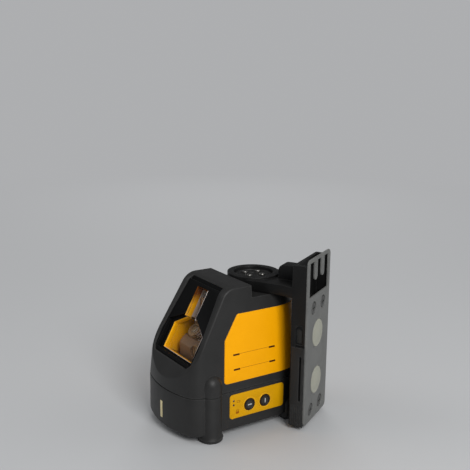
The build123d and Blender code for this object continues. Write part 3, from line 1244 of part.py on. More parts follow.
nodes = {
    "base_housing": base_housing(),
    "upper_housing": upper_housing(),
    "wrap_panel": wrap_panel(),
    "window_surround": window_surround(),
    "window_gasket": window_gasket(),
    "lower_window_pane": lower_pane(),
    "upper_window_pane": upper_pane(),
    "front_index_mark": index_mark_shape(0),
    "rubber_feet": rubber_feet(),
    "housing_screws": housing_screws(),
    "keypad_panel": keypad_panel(),
    "keypad_board": keypad_board(),
    "keypad_switches": keypad_switches(),
    "keypad_board_screws": keypad_screws(),
    "indicator_lenses": indicator_lenses(),
    "horizontal_line_button": button(BUTTON_YS[0]),
    "vertical_line_button": button(BUTTON_YS[1]),
    "battery_tray": battery_tray(),
    "battery_cells": battery_cells(),
    "battery_contacts": battery_contacts(),
    "battery_door": battery_door(),
    "battery_door_pin": battery_door_pin(),
    "tripod_insert": tripod_insert(),
    "pendulum_frame": pendulum_frame(),
    "frame_screws": frame_screws(),
    "frame_bearings": group([bearing_x(-1), bearing_x(1)]),
    "gimbal_block": gimbal_block(),
    "gimbal_pins": gimbal_pins(),
    "pendulum_bearings": group([bearing_y(-1), bearing_y(1)]),
    "pendulum_body": pendulum_body(),
    "vertical_laser_module": laser_module(VERTICAL_MODULE),
    "horizontal_laser_module": laser_module(HORIZONTAL_MODULE),
    "vertical_line_lens": line_lens(VERTICAL_MODULE),
    "horizontal_line_lens": line_lens(HORIZONTAL_MODULE),
    "damper_disc": damper_disc(),
    "damper_magnet": damper_magnet(),
    "balance_screws": balance_screws(),
    "pendulum_lock_slider": lock_slider(),
    "lock_pad": lock_pad(),
    "main_circuit_board": main_circuit_board(),
    "board_chips": board_chips(),
    "board_screws": board_screws(),
    "pivot_hub": pivot_hub(),
    "friction_washer": washer(RING_RADIUS - WASHER_EDGE, DECK),
    "wave_washer": washer(RING_RECESS - WASHER_EDGE, RECESS_FLOOR),
    "pivot_retainer": pivot_retainer(),
    "retainer_screws": retainer_screws(),
    "bracket_frame": turned(bracket_frame()),
    "bracket_back_plate": turned(bracket_back_plate()),
    "upper_magnet": turned(magnet(MAGNET_ZS[0])),
    "lower_magnet": turned(magnet(MAGNET_ZS[1])),
    "magnet_yokes": group([turned(disc) for disc in magnet_yokes()]),
    "back_plate_screws": group([turned(screw) for screw in back_plate_screws()]),
}

os.makedirs("parts", exist_ok=True)
for name, shape in nodes.items():
    export_step(shape, f"parts/{name}.step")
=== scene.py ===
"""Dresses the cross line laser level: finishes, eased edges, small fittings, light and camera."""

import json
import logging
import math
from contextlib import contextmanager
from dataclasses import dataclass
from enum import Enum
from functools import cache
from typing import Callable, ClassVar, Iterator, Optional, Sequence

import bmesh
import bpy
from mathutils import Matrix, Vector


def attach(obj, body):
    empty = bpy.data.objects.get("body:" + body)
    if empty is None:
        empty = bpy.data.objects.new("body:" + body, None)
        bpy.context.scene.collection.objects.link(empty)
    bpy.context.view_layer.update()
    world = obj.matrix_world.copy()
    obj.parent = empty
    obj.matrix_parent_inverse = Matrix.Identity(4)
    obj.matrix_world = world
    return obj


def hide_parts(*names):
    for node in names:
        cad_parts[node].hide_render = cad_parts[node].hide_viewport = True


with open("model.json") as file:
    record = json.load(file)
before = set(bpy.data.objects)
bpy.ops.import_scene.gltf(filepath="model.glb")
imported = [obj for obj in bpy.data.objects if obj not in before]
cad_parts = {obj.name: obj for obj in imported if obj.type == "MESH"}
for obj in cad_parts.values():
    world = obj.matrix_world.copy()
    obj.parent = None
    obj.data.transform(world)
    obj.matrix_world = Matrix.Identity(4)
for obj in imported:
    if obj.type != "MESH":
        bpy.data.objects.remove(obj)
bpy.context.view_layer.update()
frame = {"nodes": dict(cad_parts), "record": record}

LOG = logging.getLogger("laser_level")
MM = 0.001
TOUCH = 0.02
BEAD_ANGLE = 60.0
DOME_ANGLE = 50.0

FLOAT = "NodeSocketFloat"
COLOUR = "NodeSocketColor"
VECTOR = "NodeSocketVector"

Colour = tuple[float, float, float]
Pair = tuple[float, float]
Point = tuple[float, float, float]
Socket = bpy.types.NodeSocket


class Axis(Enum):
    """Direction that a turned piece is built along."""

    X = (0.0, math.pi / 2, 0.0)
    MINUS_Y = (math.pi / 2, 0.0, 0.0)
    Z = (0.0, 0.0, 0.0)
    MINUS_Z = (math.pi, 0.0, 0.0)


def opaque(colour: Colour) -> tuple[float, float, float, float]:
    """Gives a colour the alpha that a socket needs."""
    return (*colour, 1.0)


class Wiring:
    """Adds and joins the nodes of one shader tree."""

    def __init__(self, tree: bpy.types.NodeTree) -> None:
        """Takes the node tree of a material, a group or the world."""
        self.tree = tree

    @classmethod
    def emptied(cls, owner: bpy.types.ID) -> "Wiring":
        """Starts the tree of a material or the world afresh.

        Args:
            owner: The material or the world.

        Returns:
            The wiring of its empty tree.
        """
        owner.use_nodes = True
        owner.node_tree.nodes.clear()
        return cls(owner.node_tree)

    def node(self, kind: str, inputs: Optional[dict] = None, **settings: object) -> bpy.types.Node:
        """Adds one node.

        Args:
            kind: The node's type name.
            inputs: Values or output sockets by the name or number of the input.
            settings: Properties of the node.

        Returns:
            The new node.
        """
        made = self.tree.nodes.new(kind)
        for name, value in settings.items():
            setattr(made, name, value)
        for name, value in (inputs or {}).items():
            if isinstance(value, Socket):
                self.tree.links.new(value, made.inputs[name])
            else:
                made.inputs[name].default_value = value
        return made

    def first(self, kind: str, inputs: Optional[dict] = None, **settings: object) -> Socket:
        """Adds one node and returns its first output."""
        return self.node(kind, inputs, **settings).outputs[0]

    def math(self, operation: str, *values: object) -> Socket:
        """Adds a math node and returns its output."""
        return self.first("ShaderNodeMath", dict(enumerate(values)), operation=operation)

    def mix(self, factor: object, low: object, high: object) -> Socket:
        """Adds a colour mix and returns its output."""
        inputs = {0: factor, 6: low, 7: high}
        return self.node("ShaderNodeMix", inputs, data_type="RGBA").outputs[2]

    def blend(self, factor: object, low: Socket, high: Socket) -> Socket:
        """Adds a mix of two shaders and returns its output."""
        return self.first("ShaderNodeMixShader", {0: factor, 1: low, 2: high})

    def spread(self, value: object, span: Pair, ends: tuple[object, object] = (0.0, 1.0)) -> Socket:
        """Adds a clamped map range and returns its output."""
        inputs = dict(enumerate((value, *span, *ends)))
        return self.first("ShaderNodeMapRange", inputs)

    def place(self) -> Socket:
        """Adds the object's own coordinates and returns them."""
        return self.node("ShaderNodeTexCoord").outputs["Object"]

    def noise(
            self, where: Socket, scale: object, detail: float, roughness: float = 0.5) -> Socket:
        """Adds a noise and returns its value."""
        inputs = {"Vector": where, "Scale": scale, "Detail": detail, "Roughness": roughness}
        return self.first("ShaderNodeTexNoise", inputs)


class Effects:
    """Shader groups that several finishes share, each built once."""

    BLOTCHES: ClassVar[Pair] = (0.32, 0.68)
    SPECKS: ClassVar[Pair] = (0.35, 0.65)
    BLOTCH_SHARE: ClassVar[float] = 0.7
    SPECK_SHARE: ClassVar[float] = 0.3
    EDGE_BENDS: ClassVar[Pair] = (0.01, 0.16)
    EDGE_SAMPLES: ClassVar[int] = 6
    # Breaks and shares of the lightened edges: partly wear, partly painted highlight.
    WEAR_AND_HIGHLIGHT_BREAKS: ClassVar[Pair] = (0.35, 0.66)
    WEAR_AND_HIGHLIGHT_SHARES: ClassVar[Pair] = (0.25, 1.0)
    DUST_SLOPES: ClassVar[Pair] = (0.25, 0.95)
    DUST_FLECKS: ClassVar[Pair] = (0.42, 0.75)
    LINE_SHADES: ClassVar[Pair] = (0.3, 0.7)

    @staticmethod
    def start(name: str, inputs: dict[str, str]) -> tuple[Wiring, bpy.types.bpy_prop_collection]:
        """Starts a group with named inputs.

        Args:
            name: The group's name.
            inputs: Socket type of each input by its name.

        Returns:
            The group's wiring and the sockets that give its inputs.
        """
        tree = bpy.data.node_groups.new(name, "ShaderNodeTree")
        for label, kind in inputs.items():
            tree.interface.new_socket(label, in_out="INPUT", socket_type=kind)
        wiring = Wiring(tree)
        return wiring, wiring.node("NodeGroupInput").outputs

    @staticmethod
    def close(wiring: Wiring, outputs: dict[str, Socket]) -> bpy.types.NodeTree:
        """Gives a group its named outputs.

        Args:
            wiring: The group's wiring.
            outputs: The socket that feeds each output by its name.

        Returns:
            The finished group.
        """
        for label, value in outputs.items():
            kind = COLOUR if value.type == "RGBA" else FLOAT
            wiring.tree.interface.new_socket(label, in_out="OUTPUT", socket_type=kind)
        wiring.node("NodeGroupOutput", outputs)
        return wiring.tree

    @classmethod
    @cache
    def grain(cls) -> bpy.types.NodeTree:
        """Fine moulded texture with slow patches of colour and gloss.

        Returns:
            The group.
        """
        wiring, given = cls.start("moulded_grain", {
            "Grain Scale": FLOAT, "Patch Scale": FLOAT, "Rough Low": FLOAT, "Rough High": FLOAT,
            "Colour A": COLOUR, "Colour B": COLOUR})
        place = wiring.place()
        fine = wiring.noise(place, given["Grain Scale"], 2.0, 0.55)
        slow = wiring.noise(place, given["Patch Scale"], 5.0, 0.62)
        blotch = wiring.math("MULTIPLY", wiring.spread(slow, cls.BLOTCHES), cls.BLOTCH_SHARE)
        speck = wiring.math("MULTIPLY", wiring.spread(fine, cls.SPECKS), cls.SPECK_SHARE)
        tone = wiring.math("ADD", blotch, speck)
        return cls.close(wiring, {
            "Colour": wiring.mix(tone, given["Colour A"], given["Colour B"]),
            "Roughness": wiring.spread(tone, (0.0, 1.0), (given["Rough Low"], given["Rough High"])),
            "Height": fine})

    @classmethod
    @cache
    def edge_wear_and_highlight(cls) -> bpy.types.NodeTree:
        """Mask of handled edges, broken up along their length, that lightens them: partly wear,
        partly a painted highlight on the rounded edges.

        Returns:
            The group.
        """
        wiring, given = cls.start("edge_wear_and_highlight_mask", {"Radius": FLOAT, "Patch Scale": FLOAT})
        rounded = wiring.first(
            "ShaderNodeBevel", {"Radius": given["Radius"]}, samples=cls.EDGE_SAMPLES)
        flat = wiring.node("ShaderNodeNewGeometry").outputs["Normal"]
        match = wiring.node(
            "ShaderNodeVectorMath", {0: rounded, 1: flat}, operation="DOT_PRODUCT").outputs["Value"]
        edge = wiring.spread(wiring.math("SUBTRACT", 1.0, match), cls.EDGE_BENDS)
        noise = wiring.noise(wiring.place(), given["Patch Scale"], 4.0)
        broken = wiring.spread(noise, cls.WEAR_AND_HIGHLIGHT_BREAKS, cls.WEAR_AND_HIGHLIGHT_SHARES)
        return cls.close(wiring, {"Mask": wiring.math("MULTIPLY", edge, broken)})

    @classmethod
    @cache
    def dust(cls) -> bpy.types.NodeTree:
        """Mask of thin dust on surfaces that face up.

        Returns:
            The group.
        """
        wiring, given = cls.start("settled_dust", {"Scale": FLOAT})
        normal = wiring.node("ShaderNodeNewGeometry").outputs["Normal"]
        rise = wiring.node("ShaderNodeSeparateXYZ", {0: normal}).outputs["Z"]
        upward = wiring.spread(rise, cls.DUST_SLOPES)
        noise = wiring.noise(wiring.place(), given["Scale"], 6.0, 0.7)
        flecks = wiring.spread(noise, cls.DUST_FLECKS)
        return cls.close(wiring, {"Mask": wiring.math("MULTIPLY", upward, flecks)})

    @classmethod
    @cache
    def lines(cls) -> bpy.types.NodeTree:
        """Fine drawn or turned lines for metal: a shade, a roughness and a height.

        Returns:
            The group.
        """
        wiring, given = cls.start(
            "drawn_lines", {"Stretch": VECTOR, "Rough Low": FLOAT, "Rough High": FLOAT})
        drawn = wiring.first(
            "ShaderNodeVectorMath", {0: wiring.place(), 1: given["Stretch"]}, operation="MULTIPLY")
        noise = wiring.noise(drawn, 1.0, 4.0)
        shade = wiring.spread(noise, cls.LINE_SHADES)
        rough = wiring.spread(shade, (0.0, 1.0), (given["Rough Low"], given["Rough High"]))
        return cls.close(wiring, {"Shade": shade, "Roughness": rough, "Height": noise})


@dataclass(frozen=True)
class Finish:
    """A named surface finish that makes one material."""

    name: str
    slot: str
    colour: Colour

    def material(self) -> bpy.types.Material:
        """Makes the material, or gives the one already made.

        Returns:
            The material of this finish.
        """
        found = bpy.data.materials.get(self.name)
        if found:
            return found
        made = bpy.data.materials.new(self.name)
        made.diffuse_color = opaque(self.colour)
        wiring = Wiring.emptied(made)
        wiring.node("ShaderNodeOutputMaterial", {"Surface": self.shader(wiring)})
        return made

    def shader(self, wiring: Wiring) -> Socket:
        """Builds the finish's shader and returns its output."""
        raise NotImplementedError


@dataclass(frozen=True)
class Moulded(Finish):
    """Injection-moulded plastic or rubber with grain, edges lightened as wear and as a painted
    highlight, and a little dust.
    """

    DUST_TINT: ClassVar[Colour] = (0.42, 0.40, 0.37)
    WEAR_AND_HIGHLIGHT_FINENESS: ClassVar[float] = 4.0
    DUST_FINENESS: ClassVar[float] = 16.0
    GRAIN_STRENGTH: ClassVar[float] = 0.5
    COAT_ROUGHNESS: ClassVar[float] = 0.12

    drift: Colour = (0.05, 0.05, 0.05)
    rough: Pair = (0.5, 0.62)
    grain_scale: float = 2600.0
    grain_depth: float = 0.00002
    patch_scale: float = 70.0
    # Lighter colour along the edges: partly wear, partly a painted highlight where rounded edges
    # catch light.
    wear_and_highlight_colour: Colour = (0.12, 0.12, 0.12)
    wear_and_highlight_radius: float = 0.0006
    wear_and_highlight_share: float = 0.45
    dust_share: float = 0.035
    specular: float = 0.5
    coat: float = 0.0
    # Painted shade: a darker colour that the surface turns to above a height, standing in for a
    # shadow.
    painted_shade_colour: Optional[Colour] = None
    painted_shade_heights: Pair = (0.0, 1.0)

    def shader(self, wiring: Wiring) -> Socket:
        """Builds the moulded shader.

        Args:
            wiring: Wiring of the material.

        Returns:
            The shader's output.
        """
        grain = wiring.node("ShaderNodeGroup", {
            "Grain Scale": self.grain_scale, "Patch Scale": self.patch_scale,
            "Rough Low": self.rough[0], "Rough High": self.rough[1],
            "Colour A": opaque(self.colour), "Colour B": opaque(self.drift),
        }, node_tree=Effects.grain()).outputs
        edge_wear_and_highlight = wiring.first("ShaderNodeGroup", {
            "Radius": self.wear_and_highlight_radius, "Patch Scale": self.patch_scale * self.WEAR_AND_HIGHLIGHT_FINENESS,
        }, node_tree=Effects.edge_wear_and_highlight())
        dust = wiring.first("ShaderNodeGroup", {
            "Scale": self.patch_scale * self.DUST_FINENESS}, node_tree=Effects.dust())
        # Edges take a lighter colour: partly rubbed wear, partly a painted highlight along the
        # rounded edges.
        worn_and_lit = wiring.math("MULTIPLY", edge_wear_and_highlight, self.wear_and_highlight_share)
        colour = wiring.mix(worn_and_lit, grain["Colour"], opaque(self.wear_and_highlight_colour))
        # Painted shade: the colour darkens with height, a painted shadow under the brow at the top
        # of the slot.
        if self.painted_shade_colour:
            height = wiring.node("ShaderNodeSeparateXYZ", {0: wiring.place()}).outputs["Z"]
            deep = wiring.spread(height, self.painted_shade_heights)
            colour = wiring.mix(deep, colour, opaque(self.painted_shade_colour))
        settled = wiring.math("MULTIPLY", dust, self.dust_share)
        bump = wiring.first("ShaderNodeBump", {
            "Strength": self.GRAIN_STRENGTH, "Distance": self.grain_depth,
            "Height": grain["Height"]})
        return wiring.first("ShaderNodeBsdfPrincipled", {
            "Base Color": wiring.mix(settled, colour, opaque(self.DUST_TINT)),
            "Roughness": grain["Roughness"], "Normal": bump, "Specular IOR Level": self.specular,
            "Coat Weight": self.coat, "Coat Roughness": self.COAT_ROUGHNESS})


@dataclass(frozen=True)
class Metal(Finish):
    """Drawn, turned or cast metal with fine lines."""

    LINE_STRENGTH: ClassVar[float] = 0.4

    rough: Pair = (0.22, 0.38)
    stretch: Point = (300.0, 300.0, 4000.0)
    dark: float = 0.75
    depth: float = 0.00001

    def shader(self, wiring: Wiring) -> Socket:
        """Builds the metal shader.

        Args:
            wiring: Wiring of the material.

        Returns:
            The shader's output.
        """
        lines = wiring.node("ShaderNodeGroup", {
            "Stretch": self.stretch, "Rough Low": self.rough[0], "Rough High": self.rough[1],
        }, node_tree=Effects.lines()).outputs
        shaded = tuple(self.dark * part for part in self.colour)
        bump = wiring.first("ShaderNodeBump", {
            "Strength": self.LINE_STRENGTH, "Distance": self.depth, "Height": lines["Height"]})
        return wiring.first("ShaderNodeBsdfPrincipled", {
            "Base Color": wiring.mix(lines["Shade"], opaque(shaded), opaque(self.colour)),
            "Roughness": lines["Roughness"], "Normal": bump, "Metallic": 1.0})


@dataclass(frozen=True)
class Clear(Finish):
    """Clear window plastic that lets light through and shines by its angle."""

    WHITE: ClassVar[Colour] = (1.0, 1.0, 1.0)
    HAZE: ClassVar[Colour] = (0.6, 0.58, 0.55)
    SMEAR_SCALE: ClassVar[float] = 160.0
    SMEARS: ClassVar[Pair] = (0.45, 0.8)

    shine: float = 0.06
    ior: float = 1.17
    film: float = 0.014

    def shader(self, wiring: Wiring) -> Socket:
        """Builds the clear shader.

        Args:
            wiring: Wiring of the material.

        Returns:
            The shader's output.
        """
        through = wiring.first("ShaderNodeBsdfTransparent", {"Color": opaque(self.colour)})
        gloss = wiring.first(
            "ShaderNodeBsdfGlossy", {"Color": opaque(self.WHITE), "Roughness": self.shine})
        angle = wiring.first("ShaderNodeFresnel", {"IOR": self.ior})
        behind = wiring.node("ShaderNodeNewGeometry").outputs["Backfacing"]
        front = wiring.math("MULTIPLY", angle, wiring.math("SUBTRACT", 1.0, behind))
        noise = wiring.noise(wiring.place(), self.SMEAR_SCALE, 6.0)
        smear = wiring.spread(noise, self.SMEARS, (0.0, self.film))
        haze = wiring.first("ShaderNodeBsdfDiffuse", {"Color": opaque(self.HAZE)})
        return wiring.blend(smear, wiring.blend(front, through, gloss), haze)


class Finishes:
    """Every finish of the level, by the material slot that it dresses."""

    HOUSING = Moulded(
        "housing_plastic", "housing", (0.0165, 0.0163, 0.016), drift=(0.0225, 0.0222, 0.0218),
        rough=(0.4, 0.52), wear_and_highlight_colour=(0.13, 0.13, 0.125), wear_and_highlight_share=0.6, specular=0.32)
    SURROUND = Moulded(
        "window_surround_plastic", "surround", (0.0035, 0.0036, 0.0038),
        drift=(0.005, 0.0051, 0.0053), rough=(0.4, 0.5), grain_depth=0.000006,
        wear_and_highlight_colour=(0.05, 0.05, 0.05), wear_and_highlight_share=0.4, dust_share=0.015, specular=0.07)
    YELLOW = Moulded(
        "yellow_plastic", "yellow", (0.92, 0.385, 0.0005), drift=(0.96, 0.415, 0.001),
        rough=(0.34, 0.46), grain_depth=0.000012, wear_and_highlight_colour=(1.0, 0.62, 0.08), wear_and_highlight_share=0.6,
        dust_share=0.0, specular=0.12)
    KEYPAD = Moulded(
        "keypad_film", "yellow", (0.64, 0.315, 0.0015), drift=(0.7, 0.35, 0.002),
        rough=(0.36, 0.48), grain_depth=0.000012, wear_and_highlight_colour=(0.9, 0.5, 0.03), wear_and_highlight_share=0.6,
        dust_share=0.0, specular=0.12)
    RUBBER = Moulded(
        "foot_rubber", "rubber", (0.02, 0.02, 0.02), drift=(0.03, 0.03, 0.03), rough=(0.7, 0.85),
        grain_scale=1800.0, wear_and_highlight_colour=(0.07, 0.07, 0.07), specular=0.3)
    MARK = Moulded(
        "pale_insert", "mark", (0.72, 0.62, 0.36), drift=(0.66, 0.56, 0.3), rough=(0.4, 0.55),
        wear_and_highlight_colour=(0.5, 0.42, 0.24), dust_share=0.0)
    BUTTON = Moulded(
        "button_rubber", "button", (0.012, 0.0105, 0.0095), drift=(0.018, 0.016, 0.015),
        rough=(0.45, 0.58), wear_and_highlight_colour=(0.09, 0.085, 0.08), dust_share=0.02, specular=0.3)
    BUTTON_FACE = Moulded(
        "button_face", "button", (0.026, 0.024, 0.022), drift=(0.036, 0.034, 0.032),
        rough=(0.45, 0.56), wear_and_highlight_colour=(0.12, 0.12, 0.11), dust_share=0.02, specular=0.3)
    # The same plastic as the keypad, lightened as a painted highlight on the raised rings round the
    # buttons.
    YELLOW_PAINTED_HIGHLIGHT = Moulded(
        "yellow_painted_highlight_plastic", "yellow", (0.7, 0.36, 0.006), drift=(0.76, 0.4, 0.01),
        rough=(0.34, 0.44), grain_depth=0.000008, wear_and_highlight_colour=(0.85, 0.5, 0.04), wear_and_highlight_share=0.3,
        dust_share=0.0, specular=0.12)
    # Yellow liner; towards the top of the slot it darkens to a painted shadow under the brow.
    LINER = Moulded(
        "liner_plastic", "yellow", (1.0, 0.46, 0.003), drift=(1.0, 0.5, 0.006), rough=(0.3, 0.42),
        grain_depth=0.000006, wear_and_highlight_colour=(1.0, 0.7, 0.3), wear_and_highlight_share=0.5, dust_share=0.0,
        specular=0.2, painted_shade_colour=(0.17, 0.045, 0.002), painted_shade_heights=(0.0905, 0.0985))
    # Pale tan for the rims of the window and the slot, and for the strip behind the slot: a painted
    # highlight along their edges.
    SLOT_REST = Moulded(
        "slot_rest_paint", "casting", (0.52, 0.45, 0.42), drift=(0.58, 0.51, 0.47),
        rough=(0.45, 0.55), wear_and_highlight_colour=(0.66, 0.58, 0.52), wear_and_highlight_share=0.3, dust_share=0.0,
        specular=0.3)
    # Opaque pale tan for the clear line lenses: a painted reflection, standing in for the light
    # seen in and on the glass.
    LINE_LENS_PAINTED_REFLECTION = Moulded(
        "line_lens_painted_reflection", "clear", (0.27, 0.21, 0.145), drift=(0.31, 0.245, 0.17),
        rough=(0.12, 0.18), grain_depth=0.000001, wear_and_highlight_share=0.1, dust_share=0.0, coat=0.5)
    LENS = Moulded(
        "indicator_tint", "lens", (0.03, 0.012, 0.01), drift=(0.05, 0.02, 0.016),
        rough=(0.08, 0.14), grain_depth=0.000001, wear_and_highlight_share=0.1, dust_share=0.0, coat=0.6)
    BRACKET = Moulded(
        "bracket_plastic", "bracket", (0.0062, 0.0062, 0.0062), drift=(0.01, 0.01, 0.01),
        rough=(0.36, 0.5), wear_and_highlight_colour=(0.09, 0.09, 0.09), wear_and_highlight_share=0.55, specular=0.2)
    COVER = Moulded(
        "side_cover_rubber", "bracket", (0.011, 0.011, 0.0108), drift=(0.018, 0.018, 0.0175),
        rough=(0.5, 0.64), grain_scale=1900.0, wear_and_highlight_colour=(0.1, 0.1, 0.1), wear_and_highlight_share=0.6,
        specular=0.4)
    PAD = Moulded(
        "pocket_pad_rubber", "bracket", (0.014, 0.0138, 0.013), drift=(0.02, 0.0195, 0.018),
        rough=(0.6, 0.72), wear_and_highlight_colour=(0.1, 0.1, 0.1), specular=0.3)
    BACK_PLATE = Moulded(
        "back_plate_plastic", "back_plate", (0.1, 0.101, 0.097), drift=(0.143, 0.144, 0.137),
        rough=(0.48, 0.62), grain_scale=1700.0, grain_depth=0.00004, wear_and_highlight_colour=(0.32, 0.32, 0.31),
        wear_and_highlight_share=0.55)
    MAGNET = Moulded(
        "magnet_coating", "magnet", (0.28, 0.278, 0.222), drift=(0.33, 0.328, 0.265),
        rough=(0.3, 0.45), grain_depth=0.000008, wear_and_highlight_colour=(0.46, 0.45, 0.39), dust_share=0.03)
    STEEL = Metal("plain_steel", "steel", (0.42, 0.42, 0.42), rough=(0.36, 0.5))
    DULL_STEEL = Metal(
        "dull_grey_steel", "steel", (0.2, 0.2, 0.195), rough=(0.5, 0.65),
        stretch=(700.0, 700.0, 700.0), depth=0.00002)
    BRIGHT_STEEL = Metal("bright_steel", "bright_steel", (0.72, 0.71, 0.69), rough=(0.14, 0.26))
    ZINC = Metal(
        "zinc_plate", "bright_steel", (0.36, 0.35, 0.33), rough=(0.3, 0.44),
        stretch=(900.0, 900.0, 900.0), dark=0.6)
    BRASS = Metal("turned_brass", "brass", (0.74, 0.55, 0.25))
    COPPER = Metal("damper_copper", "copper", (0.72, 0.36, 0.2))
    CASTING = Moulded(
        "painted_casting", "casting", (0.22, 0.145, 0.098), drift=(0.27, 0.185, 0.13),
        rough=(0.42, 0.56), grain_scale=1500.0, grain_depth=0.00003, wear_and_highlight_colour=(0.42, 0.32, 0.24),
        wear_and_highlight_share=0.5, dust_share=0.02, specular=0.35)
    BARREL = Moulded(
        "tan_barrel", "barrel", (0.31, 0.2, 0.105), drift=(0.38, 0.255, 0.145), rough=(0.3, 0.42),
        grain_depth=0.000008, wear_and_highlight_colour=(0.6, 0.44, 0.3), wear_and_highlight_share=0.7, dust_share=0.0)
    BOARD = Moulded(
        "solder_mask", "board", (0.012, 0.11, 0.04), drift=(0.02, 0.15, 0.06), rough=(0.25, 0.4),
        wear_and_highlight_share=0.2)
    CHIP = Moulded("chip_resin", "chip", (0.015, 0.015, 0.015), drift=(0.022, 0.022, 0.022))
    TRAY = Moulded("tray_plastic", "tray", (0.045, 0.045, 0.045), drift=(0.06, 0.06, 0.06))
    CELL = Moulded(
        "cell_sleeve", "cell", (0.2, 0.2, 0.22), drift=(0.25, 0.25, 0.27), rough=(0.25, 0.35),
        wear_and_highlight_share=0.2)
    WASHER = Moulded(
        "slip_washer", "washer", (0.6, 0.6, 0.56), drift=(0.68, 0.68, 0.63), rough=(0.3, 0.4))
    WINDOW = Clear("window_plastic", "clear", (0.93, 0.92, 0.9))
    INK = Moulded(
        "dark_ink", "chip", (0.05, 0.011, 0.002), drift=(0.066, 0.016, 0.003), rough=(0.4, 0.5),
        wear_and_highlight_share=0.1, dust_share=0.0, specular=0.1)
    AMBER_INK = Moulded(
        "amber_ink", "yellow", (0.3, 0.085, 0.001), drift=(0.36, 0.11, 0.002), rough=(0.4, 0.5),
        wear_and_highlight_share=0.1, dust_share=0.0, specular=0.1)
    WHITE_INK = Moulded(
        "white_ink", "washer", (0.52, 0.52, 0.5), drift=(0.46, 0.46, 0.44), rough=(0.4, 0.5),
        wear_and_highlight_share=0.1, dust_share=0.0)

    BY_SLOT: ClassVar[dict[str, Finish]] = {}

    @classmethod
    def of_slot(cls, slot: str) -> Finish:
        """Finds the finish that dresses a record slot.

        Args:
            slot: The record's slot name.

        Returns:
            The first finish named for that slot.
        """
        if not cls.BY_SLOT:
            for value in vars(cls).values():
                if isinstance(value, Finish):
                    cls.BY_SLOT.setdefault(value.slot, value)
        return cls.BY_SLOT[slot]


